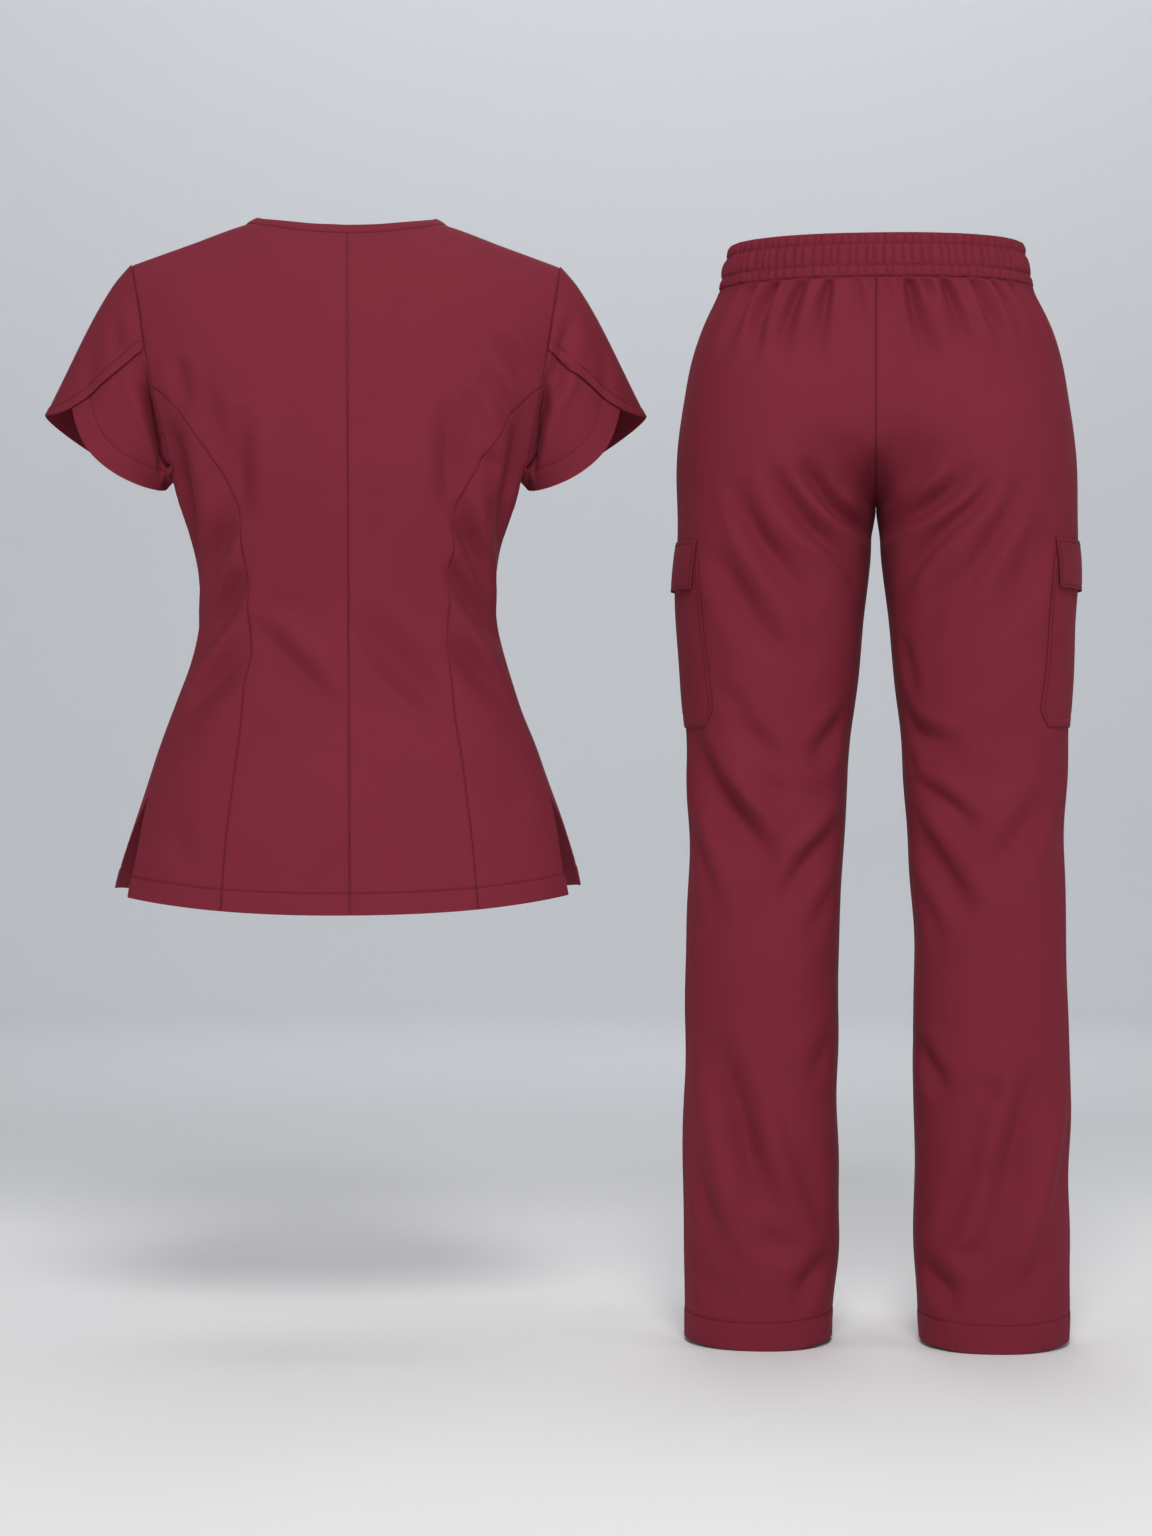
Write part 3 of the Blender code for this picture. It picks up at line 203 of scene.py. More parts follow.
TOP_CREASES = creases("back", (
    (14, 11.7, 0.2, (-92, -330), (-112, -356), (-138, -396)),
    (9, -5.4, 0, (-98, -296), (-117, -336), (-134, -378)),
    (10, 9.8, 0, (-104, -262), (-118, -305), (-134, -352)),
    (11, 9.8, 0, (-166, -186), (-154, -233), (-146, -274), (-137, -316)),
    (9, -3.8, 0, (-140, -212), (-130, -262), (-126, -300)),
    (14, 10.4, -0.3, (-88, -392), (-116, -415), (-152, -458)),
    (16, 9.1, 0.3, (-96, -368), (-70, -395), (-42, -423), (-6, -462)),
    (9, 1.8, 0, (-90, -352), (-58, -360), (-30, -358)),
    (16, 10.8, -0.2, (6, -370), (44, -412), (92, -456)),
    (11, 3.4, 0, (42, -334), (62, -362), (78, -394)),
    (14, 11.7, -0.2, (92, -318), (114, -350), (142, -388)),
    (9, -5.4, 0, (97, -296), (116, -338), (135, -378)),
    (10, 9.8, 0, (102, -258), (110, -294), (120, -316), (134, -348)),
    (10, 9.8, 0, (158, -170), (156, -213), (148, -250), (139, -305)),
    (8, -3.8, 0, (112, -246), (122, -280), (130, -312)),
    (8, 4.2, 0, (116, -220), (128, -228), (142, -234)),
    (14, 10.4, 0.3, (90, -388), (116, -410), (150, -446)),
    (15, 9, 0.2, (-99, -178), (-100, -232), (-97, -286)),
    (10, 6, 0, (-128, -158), (-124, -190), (-121, -226)),
    (8, 5.4, 0, (-158, -128), (-152, -152), (-146, -184)),
    (15, 9, -0.2, (93, -172), (95, -222), (95, -280)),
    (10, 6, 0, (113, -160), (118, -186), (123, -218)),
    (8, 5.7, 0, (138, -108), (152, -130), (170, -158)),
    (8, 6, 0.3, (128, -144), (140, -166), (154, -192)),
    (7, 2.6, 0, (136, -250), (132, -276), (126, -300)),
    (10, 2.3, 0, (-160, -560), (-152, -582), (-146, -598)),
    (22, 2.3, 0, (30, -470), (44, -530), (50, -600)),
    (22, 2, 0, (-52, -480), (-60, -540), (-66, -606)),
    (20, 2, 0, (140, -470), (152, -530), (158, -580)),
)) + creases("front", (
    (14, 7.2, 0.2, (-128, -350), (-96, -372), (-64, -398)),
    (15, 5.8, 0, (-132, -412), (-92, -430), (-48, -446)),
    (13, 2.9, 0, (-104, -470), (-72, -500), (-50, -548)),
    (14, 7.2, -0.2, (130, -344), (100, -368), (60, -392)),
    (15, 5.8, 0, (134, -420), (88, -436), (40, -456)),
    (13, 3.2, 0, (110, -480), (84, -516), (70, -560)),
    (18, 5.8, 0, (-118, -232), (-84, -262), (-62, -300)),
    (18, 5.8, 0, (120, -236), (88, -262), (66, -304)),
    (10, 2.3, 0, (-150, -150), (-128, -184), (-112, -222)),
    (10, 2.3, 0, (152, -146), (132, -186), (118, -220)),
    (24, 2.6, 0, (-40, -470), (-30, -540), (-34, -612)),
    (24, 2.6, 0, (36, -486), (48, -548), (44, -606)),
))

# The slow unevenness of cloth that hangs: waves of a length and height, running across and down. They run
# a little from back to front too, and each starts at a phase of its own.
WAVE_INWARD, WAVE_SHIFT = 0.4, 1.7
TOP_WAVES = table(
    "length height across down",
    (118, 0.45, 0.93, 0.35),
    (83, 0.30, -0.60, 0.80),
    (151, 0.50, 0.25, 0.96),
    (47, 0.12, 0.85, -0.52),
)


def through(x, y, at):
    """A smooth curve through the points (x, y), read at any places. x rises."""
    slope = np.gradient(y, x)
    at = np.clip(at, x[0], x[-1])
    i = np.clip(np.searchsorted(x, at, "right") - 1, 0, len(x) - 2)
    span = x[i + 1] - x[i]
    t = (at - x[i]) / span
    level = (1 + 2 * t) * (1 - t) ** 2 * y[i] + t**2 * (3 - 2 * t) * y[i + 1]
    return level + span * t * (1 - t) * ((1 - t) * slope[i] - t * slope[i + 1])


def smooth(sections, name, at, by="height"):
    """One column of a table at any value of another column."""
    rows = sorted(sections, key=lambda row: getattr(row, by))
    x, y = (np.array([getattr(row, column) for row in rows], float) for column in (by, name))
    return through(x, y, at)


def ramp(values):
    """0 up to 0, 1 from 1 on, and a smooth rise between them."""
    t = np.clip(values, 0, 1)
    return t**2 * (3 - 2 * t)


def unit(vectors):
    return vectors / np.maximum(np.linalg.norm(vectors, axis=-1, keepdims=True), 1e-9)


def mirrored(grid):
    """The same piece on the other side, its columns still running to the right."""
    return grid[:, ::-1] * (-1, 1, 1)


def distances(line):
    """How far along a line each of its points lies."""
    return np.concatenate([[0], np.cumsum(np.linalg.norm(np.diff(line, axis=0), axis=1))])


def steps(heights_at, counts):
    """Heights through the given ones, with the given number of even steps between each two."""
    runs = [np.linspace(a, b, n + 1)[1:] for a, b, n in zip(heights_at, heights_at[1:], counts)]
    return np.concatenate([[heights_at[0]], *runs])


def eased(values, reach=EVENING):
    """Values along a line, each evened out with its neighbours."""
    window = 2 * reach + 1
    return np.convolve(np.pad(values, reach, mode="edge"), np.full(window, 1 / window), "valid")


def curve(path):
    """A smooth line of points through a crease's few."""
    path = np.array(path, float)
    along = distances(path)
    even = np.linspace(0, along[-1], CREASE_POINTS + 1)
    return np.column_stack([through(along, values, even) for values in path.T])


def shared_normals(grids, closed=()):
    """Each grid's normals at its points. Points where pieces meet get one normal between them."""
    names, corners, directions = list(grids), [], []
    for name in names:
        grid = grids[name]
        wide = np.concatenate([grid, grid[:, :1]], axis=1) if name in closed else grid
        face = unit(np.cross(wide[1:, :-1] - wide[:-1, 1:], wide[1:, 1:] - wide[:-1, :-1]))
        total = np.zeros_like(wide)
        for rows in (slice(0, -1), slice(1, None)):
            for columns in (slice(0, -1), slice(1, None)):
                total[rows, columns] += face
        if name in closed:
            total[:, 0] += total[:, -1]
            total = total[:, :-1]
        corners.append(grid.reshape(-1, 3))
        directions.append(total.reshape(-1, 3))
    places = np.round(np.concatenate(corners), 3) + 0.0
    index = np.unique(places, axis=0, return_inverse=True)[1].reshape(-1)
    sums = np.zeros((index.max() + 1, 3))
    np.add.at(sums, index, np.concatenate(directions))
    normals, found, start = unit(sums)[index], {}, 0
    for name in names:
        size = grids[name].shape[0] * grids[name].shape[1]
        found[name] = normals[start : start + size].reshape(grids[name].shape)
        start += size
    return found


def creased(points, normals, folds, lay, soft, own_side_below=None):
    """Points moved along their normals by some creases, which lay puts on the garment.

    Below a height, where a garment parts into two legs, a crease only reaches points on its own side.
    """
    depth = np.zeros(points.shape[:2])
    for crease in folds:
        line = lay(curve(crease.path), crease.face)
        reach = CREASE_REACH * crease.width
        near = np.all((points > line.min(axis=0) - reach) & (points < line.max(axis=0) + reach), axis=2)
        if own_side_below is not None:
            near &= ~((points[..., 2] < own_side_below) & (points[..., 0] * line[0, 0] < 0))
        if not near.any():
            continue
        offset = points[near][:, None] - line
        away = np.linalg.norm(offset, axis=2)
        nearest = away.argmin(axis=1)
        sideways = np.cross(normals[near], np.gradient(line, axis=0)[nearest])
        side = np.sign(np.sum(sideways * offset[np.arange(len(nearest)), nearest], axis=1))
        along = nearest / (len(line) - 1)
        wide = crease.width * (HELD_START + HELD_SPREAD * along if crease.held else 1)
        apart = away.min(axis=1) / (wide * (1 - crease.lean * side))
        fade = np.cos(along * math.pi / 2) if crease.held else np.sin(along * math.pi)
        bank = BANK_HEIGHT * np.exp(-(((apart - BANK_AWAY) / BANK_WIDTH) ** 2))
        depth[near] += crease.depth * (np.exp(-(apart**2)) - bank) * np.abs(fade) ** FADE_POWER
    return points - normals * (depth * soft)[..., None]


def waved(points, normals, waves, soft):
    """Points moved along their normals by the slow waves of hanging cloth."""
    rise = 0
    for number, wave in enumerate(waves):
        run = points[..., 0] * wave.across + points[..., 2] * wave.down + WAVE_INWARD * points[..., 1]
        rise = rise + wave.height * np.sin(run * 2 * math.pi / wave.length + WAVE_SHIFT * number)
    return points + normals * (rise * soft)[..., None]


def roll(out, height):
    """How much of its full depth the body has at a place, as it rounds over to the shoulder's ridge."""
    fall = (smooth(SHOULDER_RIDGE, "height", out, by="out") - height) / SHOULDER_ROLL
    return np.sqrt(1 - (1 - np.clip(fall, 0, 1)) ** 2)


def top_point(angle, height):
    """A point of the body, by its angle from the centre back (0) past the side (90) to the front (180)."""
    angle = np.radians(angle)
    power = 2 / TOP_SQUARENESS
    out = smooth(TOP_SECTIONS, "half_width", height) * np.abs(np.sin(angle)) ** power
    back, front = (smooth(TOP_SECTIONS, name, height) for name in ("back", "front"))
    depth = np.where(np.cos(angle) > 0, -back, front) * np.abs(np.cos(angle)) ** power
    return np.stack([out, depth * roll(out, height), height + 0 * out], axis=-1)


def angle_at(out, height, front=False):
    """The angle at which the body is a given distance out at a height."""
    share = np.clip(np.abs(out) / smooth(TOP_SECTIONS, "half_width", height), 0, 1)
    angle = np.degrees(np.arcsin(share ** (TOP_SQUARENESS / 2)))
    return 180 - angle if front else angle


def patch(left, right, top, bottom):
    """A grid of (angle, height) places inside four edges, which themselves are lists of such places."""
    longer = left if right[0, 1] < left[0, 1] - LONG_SIDE else right
    down = ((longer[0, 1] - longer[:, 1]) / (longer[0, 1] - longer[-1, 1]))[:, None, None]
    across = np.linspace(0, 1, len(top))[None, :, None]
    grid = 0
    for edge, near in ((left, 1 - across), (right, across)):
        steady = np.column_stack([eased(edge[:, 0]), edge[:, 1]])
        grid = grid + near * steady[:, None] + near**EDGE_HUG * (edge - steady)[:, None]
    return grid + (1 - down) ** 2 * (top - grid[0]) + down**EDGE_HUG * (bottom - grid[-1])


def places(angles, heights):
    """A list of (angle, height) places."""
    return np.column_stack(np.broadcast_arrays(angles, heights)).astype(float)


def hem_height(angle, centre, corner, corner_angle):
    """The hem's height at an angle: level in the middle, and rising towards its corner."""
    share = np.sin(np.radians(angle)) / np.sin(np.radians(corner_angle))
    return centre + (corner - centre) * share**2


def hem_edge(start, end, columns, centre, corner, corner_angle):
    """A panel's hem between two angles."""
    angles = np.linspace(start, end, columns + 1)
    return places(angles, hem_height(angles, centre, corner, corner_angle))


def middle_edge(angle, beside, top, bottom):
    """A panel's edge on the middle line, whose rows are spread as those of its other edge are."""
    share = (beside[0, 1] - beside[:, 1]) / (beside[0, 1] - beside[-1, 1])
    return places(angle, top + share * (bottom - top))


def shoulder_places(front):
    """The shoulder seam from the neck out to the armhole, as a place of the back or the front."""
    out = np.linspace(NECK_HALF, SHOULDER_HALF, SHOULDER_COLUMNS + 1)
    heights = smooth(SHOULDER_RIDGE, "height", out, by="out")
    heights[-1] = ARMHOLE_TOP
    angles = angle_at(out, heights, front)
    angles[-1] = 180 - ARMHOLE[0].front if front else ARMHOLE[0].back
    return places(angles, heights)


def side_edge(heights, face):
    """The edge of the back or the front down the side seam and on down the vent."""
    seam, vent = heights[: SIDE_ROWS + 1], heights[SIDE_ROWS + 1 :]
    return places(np.concatenate([smooth(SIDE_SEAM, "angle", seam), smooth(VENT, face, vent)]), heights)


def top_half():
    """The +X half of the body as three grids: centre back, side back and front."""
    upper = steps((ARMHOLE_TOP, OVERLAP_END, PRINCESS_TOP), (OVERLAP_ROWS, ARMHOLE_ROWS))
    turn = np.linspace(0, math.pi / 2, SIDE_COLUMNS + 1)
    lower = PRINCESS_TOP + (UNDERARM - PRINCESS_TOP) * np.sin(turn)
    seam = steps((PRINCESS_TOP, PRINCESS_VENT, PRINCESS_END), (SIDE_ROWS, VENT_ROWS))
    side_seam = side_edge(steps((UNDERARM, VENT_TOP, HEM_BACK_CORNER), (SIDE_ROWS, VENT_ROWS)), "back")
    side_front = side_edge(steps((UNDERARM, VENT_TOP, HEM_FRONT_CORNER), (SIDE_ROWS, VENT_ROWS)), "front")

    corner_angle = side_seam[-1, 0]
    princess = places(angle_at(smooth(PRINCESS_SEAM, "out", seam), seam), seam)
    princess[0, 0] = smooth(ARMHOLE, "back", PRINCESS_TOP)
    princess[-1, 1] = hem_height(princess[-1, 0], HEM_BACK, HEM_BACK_CORNER, corner_angle)
    armhole = places(smooth(ARMHOLE, "back", upper), upper)
    right = np.concatenate([armhole, princess[1:]])
    left = middle_edge(0, right, NECKLINE[0].height, HEM_BACK)
    out = NECK_HALF * np.sin(np.linspace(0, math.pi / 2, NECK_COLUMNS + 1))
    neck_heights = smooth(NECKLINE, "height", out, by="out")
    neck = places(angle_at(out, neck_heights), neck_heights)
    columns = NECK_COLUMNS + SHOULDER_COLUMNS
    hem = hem_edge(0, princess[-1, 0], columns, HEM_BACK, HEM_BACK_CORNER, corner_angle)
    centre_back = patch(left, right, np.concatenate([neck, shoulder_places(False)[1:]]), hem)

    armpit = places(smooth(ARMHOLE, "back", lower), lower)
    hem = hem_edge(princess[-1, 0], corner_angle, SIDE_COLUMNS, HEM_BACK, HEM_BACK_CORNER, corner_angle)
    side_back = patch(princess, side_seam, armpit, hem)

    down = np.concatenate([upper, lower[1:]])
    armhole = places(180 - smooth(ARMHOLE, "front", down), down)
    left = np.concatenate([armhole, side_front[1:]])
    right = middle_edge(180, left, -V_DEPTH, HEM_FRONT)
    out = NECK_HALF * (1 - np.linspace(0, 1, V_COLUMNS + 1) ** V_CROWDING)
    v_heights = -V_DEPTH * (1 - out / NECK_HALF)
    v_edge = places(angle_at(out, v_heights, True), v_heights)
    shoulder = shoulder_places(True)[::-1]
    hem = hem_edge(left[-1, 0], 180, V_COLUMNS + SHOULDER_COLUMNS, HEM_FRONT, HEM_FRONT_CORNER, left[-1, 0])
    front = patch(left, right, np.concatenate([shoulder, v_edge[1:]]), hem)
    return tuple(top_point(grid[..., 0], grid[..., 1]) for grid in (centre_back, side_back, front))


def on_top(path, face):
    """(across, height) points laid on the body's back or front."""
    laid = top_point(angle_at(path[:, 0], path[:, 1], face == "front"), path[:, 1])
    laid[:, 0] *= np.sign(path[:, 0])
    return laid


def sampled(values, rows, columns):
    """A grid's values at any places between its lines, given as row and column numbers."""
    rows, columns = np.broadcast_arrays(rows, columns)
    r = np.clip(np.floor(rows).astype(int), 0, values.shape[0] - 2)
    c = np.clip(np.floor(columns).astype(int), 0, values.shape[1] - 2)
    down, across = (rows - r)[..., None], (columns - c)[..., None]
    upper = values[r, c] * (1 - across) + values[r, c + 1] * across
    lower = values[r + 1, c] * (1 - across) + values[r + 1, c + 1] * across
    return upper * (1 - down) + lower * down


def surface_at(grid, normals, rows, columns):
    """A surface's points and normals at any rows and columns."""
    return sampled(grid, rows, columns), unit(sampled(normals, rows, columns))


def lattice(count, extra=()):
    """Places down or across a grid: each of its lines, and more of them close to both edges."""
    return np.unique(np.concatenate([np.arange(count + 1), EDGE_LINES, count - EDGE_LINES, extra]))


def finer(grid, normals, row_extra=()):
    """A surface with more lines close to its edges, and at any extra rows."""
    rows, columns = lattice(grid.shape[0] - 1, row_extra), lattice(grid.shape[1] - 1)
    return surface_at(grid, normals, rows[:, None], columns)


def gaps(grid):
    """How far each point of a panel lies from each of its four edges, along its rows and columns."""
    across = np.cumsum(np.linalg.norm(np.diff(grid, axis=1), axis=2), axis=1)
    down = np.cumsum(np.linalg.norm(np.diff(grid, axis=0), axis=2), axis=0)
    left, top = np.pad(across, ((0, 0), (1, 0))), np.pad(down, ((1, 0), (0, 0)))
    return {"left": left, "right": left[:, -1:] - left, "top": top, "bottom": top[-1:] - top}


def nearest_edge(edges, *names):
    """How far each point lies from the nearest of some edges."""
    return np.minimum.reduce([edges[name] for name in names])


def sunk(apart, depth, width):
    """The dip beside a seam or along a row of stitches."""
    return -depth * np.exp(-((apart / width) ** 2))


def hemmed(seam, stitch, rise=HEM_RISE):
    """A panel's cloth: sunk at its seams and its hem's stitches, and a little thicker below these."""
    relief = sunk(seam, SEAM_SINK, SEAM_WIDTH) + sunk(stitch, STITCH_SINK, STITCH_WIDTH)
    return Cloth(seam, stitch, relief + HEM_THICKER * np.clip(-stitch / rise, 0, 1))


def placed(points, garment):
    """A garment's own points in metres, where the garment stands: it leans, and is then turned about Z."""
    turn, lean = math.radians(garment.turn), math.radians(garment.lean)
    leaning = np.array([(math.cos(lean), 0, -math.sin(lean)), (0, 1, 0), (math.sin(lean), 0, math.cos(lean))])
    turning = np.array([(math.cos(turn), math.sin(turn), 0), (-math.sin(turn), math.cos(turn), 0), (0, 0, 1)])
    return (points @ leaning @ turning + garment.place) * 0.001


def drawn_in(grid, normals, closed):
    """The grid with each edge moved in by half of the seam's gap."""
    moved = grid.copy()
    for axis in ((0,) if closed else (0, 1)):
        lines, ups, drawn = (np.moveaxis(values, axis, 0) for values in (grid, normals, moved))
        for edge, beside in ((0, 1), (-1, -2)):
            if closed:
                along = np.roll(lines[edge], -1, axis=0) - np.roll(lines[edge], 1, axis=0)
            else:
                along = np.gradient(lines[edge], axis=0)
            into = unit(np.cross(ups[edge], along))
            into *= np.sign(np.sum(into * (lines[beside] - lines[edge]), axis=1, keepdims=True))
            drawn[edge] += SEAM_GAP / 2 * into
    return moved


def face_corners(rows, ring):
    """Row and column numbers of each face's four corners, going round as seen from outside."""
    r, c = np.meshgrid(np.arange(rows - 1), np.arange(ring), indexing="ij")
    down = np.stack([r, r + 1, r + 1, r], axis=-1).reshape(-1, 4)
    return down, np.stack([c, c, c + 1, c + 1], axis=-1).reshape(-1, 4)


def edge_loops(rows, columns, closed):
    """The grid's outline as loops of point numbers, clockwise as seen from outside."""
    number = np.arange(rows * columns).reshape(rows, columns)
    if closed:
        return [number[0], number[-1, ::-1]]
    sides = (number[0], number[1:, -1], number[-1, -2::-1], number[-2:0:-1, 0])
    return [np.concatenate(sides)]


def added(name, data):
    """A new object in the scene."""
    thing = bpy.data.objects.new(name, data)
    bpy.context.scene.collection.objects.link(thing)
    return thing


def added_mesh(name, points, faces, material):
    """A new smooth mesh in the scene, of one material."""
    mesh = bpy.data.meshes.new(name)
    mesh.from_pydata(points.tolist(), [], faces)
    mesh.shade_smooth()
    mesh.materials.append(bpy.data.materials[material])
    return added(name, mesh)


def cloth_piece(name, node, garment, grid, normals, cloth, full=1.0, thick=CLOTH, closed=False):
    """One cut piece as a thin closed shell with a rounded edge, riding.

    cloth holds how far each point is from a seam (or a pocket's edge or a pleat's valley) and from a row of
    stitches, which the material reads to paint shade and pucker the cloth beside them, and how far the outer
    face rises there. full is how much wider the cut is than the piece is when gathered.
    """
    rows, columns = grid.shape[:2]
    ring, count = (columns if closed else columns - 1), rows * columns
    edge = drawn_in(grid, normals, closed)
    outer = (edge + normals * cloth.relief[..., None]).reshape(-1, 3)
    inner = (edge - normals * thick).reshape(-1, 3)
    points = [outer, inner]
    down, across = face_corners(rows, ring)
    numbers = down * columns + across % columns
    quads = [numbers, count + numbers[:, ::-1]]

    wide = np.concatenate([grid, grid[:, :1]], axis=1) if closed else grid
    edges = gaps(wide)
    flat = np.stack([edges["left"] - edges["left"][:, ring // 2][:, None], -edges["top"]], axis=-1)
    share = np.stack([across / ring, 1 - down / (rows - 1)], axis=-1)
    weave, point_flat = [flat[down, across], flat[down, across][:, ::-1]], flat[:, :columns].reshape(-1, 2)
    bake = [share * BAKE_SHARE + BAKE_OUTER, share[:, ::-1] * BAKE_SHARE + BAKE_INNER]
    fields = [np.broadcast_to(values, grid.shape[:2]).reshape(-1) for values in (cloth.seam, cloth.stitch)]
    fields = [[values, values] for values in fields]
    start = 2 * count
    for strip, loop in enumerate(edge_loops(rows, columns, closed)):
        following = np.roll(loop, -1)
        round_it = outer[following] - outer[np.roll(loop, 1)]
        out = unit(np.cross(normals.reshape(-1, 3)[loop], round_it))
        points.append((outer[loop] + inner[loop]) / 2 + EDGE_BULGE * out)
        middle = start + np.arange(len(loop))
        for low, high, inset in ((0 * loop, middle - loop, 0), (middle - loop, 0 * loop + count, RIM_INSET)):
            near, far = loop + low, loop + high
            quads.append(np.stack([near, np.roll(near, -1), np.roll(far, -1), far], axis=1))
            way = np.arange(len(loop)) / len(loop)
            ahead = way + 1 / len(loop)
            side = RIM_START + RIM_APART * strip + inset
            corners = ((side, way), (side, ahead), (side + RIM_WIDTH, ahead), (side + RIM_WIDTH, way))
            rim = [np.column_stack([x + 0 * way, BAKE_OUTER[1] + BAKE_SHARE[1] * y]) for x, y in corners]
            bake.append(np.stack(rim, axis=1))
            weave.append(point_flat[np.stack([loop, following, following, loop], axis=1)])
        for values in fields:
            values.append(values[0][loop])
        start += len(loop)

    points = placed(np.concatenate(points), garment)
    piece = added_mesh(name, points, np.concatenate(quads).tolist(), garment.twill)
    for layer, corners, scale in (("cloth", weave, 0.001), ("OFBake", bake, 1.0)):
        found = piece.data.uv_layers.new(name=layer)
        found.uv.foreach_set("vector", (np.concatenate(corners) * scale).astype(np.float32).ravel())
    for layer, values in zip(("from_seam", "from_stitch"), fields):
        found = piece.data.attributes.new(layer, "FLOAT", "POINT")
        found.data.foreach_set("value", np.concatenate(values).astype(np.float32))
    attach(piece, "root")
    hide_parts(node)
    width, length = edges["left"].max() * full * 0.001, edges["top"].max() * 0.001
    diagonals = (wide[1:, 1:] - wide[:-1, :-1], wide[1:, :-1] - wide[:-1, 1:])
    area = np.linalg.norm(np.cross(*diagonals), axis=2).sum() / 2 * full * 1e-6
    min(area, width * length)


class Wire:
    """A socket of a material's nodes. Arithmetic on it adds Math nodes, and node() adds any other node."""

    def __init__(self, tree, socket=None):
        self.tree, self.socket = tree, socket

    def node(self, kind, settings, inputs, output=0):
        """A new node: its settings come first, and then its sockets' values or links."""
        made = self.tree.nodes.new("ShaderNode" + kind)
        for name, value in settings.items():
            setattr(made, name, value)
        for name, value in inputs.items():
            if isinstance(value, Wire):
                self.tree.links.new(value.socket, made.inputs[name])
            else:
                made.inputs[name].default_value = value
        return Wire(self.tree, made.outputs[output])

    def mixed(self, factor, first, second):
        """A blend of two colours, each a link or three numbers."""
        ends = [end if isinstance(end, Wire) else (*end, 1.0) for end in (first, second)]
        return self.node("Mix", {"data_type": "RGBA"}, {"Factor": factor, 6: ends[0], 7: ends[1]}, 2)

    def maths(self, operation, *values):
        return self.node("Math", {"operation": operation}, dict(enumerate(values)))

    def __add__(self, other):
        return self.maths("ADD", self, other)

    def __sub__(self, other):
        return self.maths("SUBTRACT", self, other)

    def __mul__(self, other):
        return self.maths("MULTIPLY", self, other)


# In millimetres, but for the shares: how much painted shade the material takes beside seams and stitches, and
# how it puckers there.
SEAM_PAINTED_SHADE, SEAM_PAINTED_SHADE_WIDTH = 0.30, 1.6
STITCH_PAINTED_SHADE, STITCH_PAINTED_SHADE_WIDTH = 0.12, 1.1
PAINTED_SHADE_SHARE = 0.45
PUCKER_WIDTH, PUCKER_HEIGHT, STITCH_GROOVE = 5.0, 3.0, 2.2


def near_line(apart, width):
    """1 on a seam or a row of stitches, falling to 0 over about its width."""
    scaled = apart * (1 / width)
    fall = scaled * scaled * -1
    return fall.maths("EXPONENT", fall)


def new_material(name):
    """A material's surface node, and a Wire that starts in its tree."""
    material = bpy.data.materials.new(name)
    material.use_nodes = True
    return material.node_tree.nodes["Principled BSDF"], Wire(material.node_tree)


def finished(surface, linked, plain):
    """Gives a surface its links and its plain values."""
    for socket, wire in linked.items():
        wire.tree.links.new(wire.socket, surface.inputs[socket])
    for socket, value in plain.items():
        surface.inputs[socket].default_value = value


def twill(name, colour, shade, light):
    """Matt stretch twill: fine diagonal ribs, a soft bloom, and painted shade along seams, stitches, pocket
    edges and the waistband's pleat valleys.
    """
    surface, start = new_material(name)
    weave = start.node("UVMap", {"uv_map": "cloth"}, {})
    spot = start.node("TexCoord", {}, {}, "Object")
    seam = start.node("Attribute", {"attribute_name": "from_seam"}, {}, "Fac")
    stitch = start.node("Attribute", {"attribute_name": "from_stitch"}, {}, "Fac")
    # Masks of the painted shade beside seams and along stitches. The stitches' mask also cuts their groove in
    # the bump.
    painted_seam_shade, stitch_shade_and_groove = near_line(seam, SEAM_PAINTED_SHADE_WIDTH), near_line(stitch, STITCH_PAINTED_SHADE_WIDTH)

    broad = start.node("TexNoise", {}, {"Vector": spot, "Scale": 22.0, "Detail": 3.0}, "Fac")
    yarn = start.node("TexNoise", {}, {"Vector": weave, "Scale": 900.0, "Detail": 2.0}, "Fac")
    ribs = start.node(
        "TexWave",
        {"wave_type": "BANDS", "bands_direction": "DIAGONAL", "wave_profile": "SIN"},
        {"Vector": weave, "Scale": 330.0, "Distortion": 1.2, "Detail": 1.0, "Detail Scale": 2.0},
        "Fac",
    )
    worn = (broad - 0.5) * 0.55 + (yarn - 0.5) * 0.35 + (ribs - 0.5) * 0.10 + 0.5
    plain = start.mixed(worn, shade, light)
    # Painted shade: the colour darkens towards a share of itself beside seams, stitches, pocket edges and
    # pleat valleys.
    painted_shade_colour = tuple(PAINTED_SHADE_SHARE * value for value in colour)
    tint = start.mixed(painted_seam_shade * SEAM_PAINTED_SHADE + stitch_shade_and_groove * STITCH_PAINTED_SHADE, plain, painted_shade_colour)
    rough = (yarn - 0.5) * 0.14 + 0.80

    pucker = start.node("TexNoise", {}, {"Vector": spot, "Scale": 260.0, "Detail": 1.0}, "Fac")
    pulled = (near_line(stitch, PUCKER_WIDTH) + near_line(seam, PUCKER_WIDTH)) * pucker * PUCKER_HEIGHT
    height = ribs * 0.5 + yarn * 0.5 + pulled - stitch_shade_and_groove * STITCH_GROOVE
    bump = start.node("Bump", {}, {"Strength": 0.35, "Distance": 0.00008, "Height": height})
    finished(
        surface,
        {"Base Color": tint, "Roughness": rough, "Normal": bump},
        {
            "Sheen Weight": 0.05,
            "Sheen Roughness": 0.4,
            "Sheen Tint": (0.90, 0.35, 0.42, 1.0),
            "Specular IOR Level": 0.06,
        },
    )


twill(TOP.twill, (0.212, 0.0245, 0.0425), (0.190, 0.0210, 0.0375), (0.234, 0.0280, 0.0475))

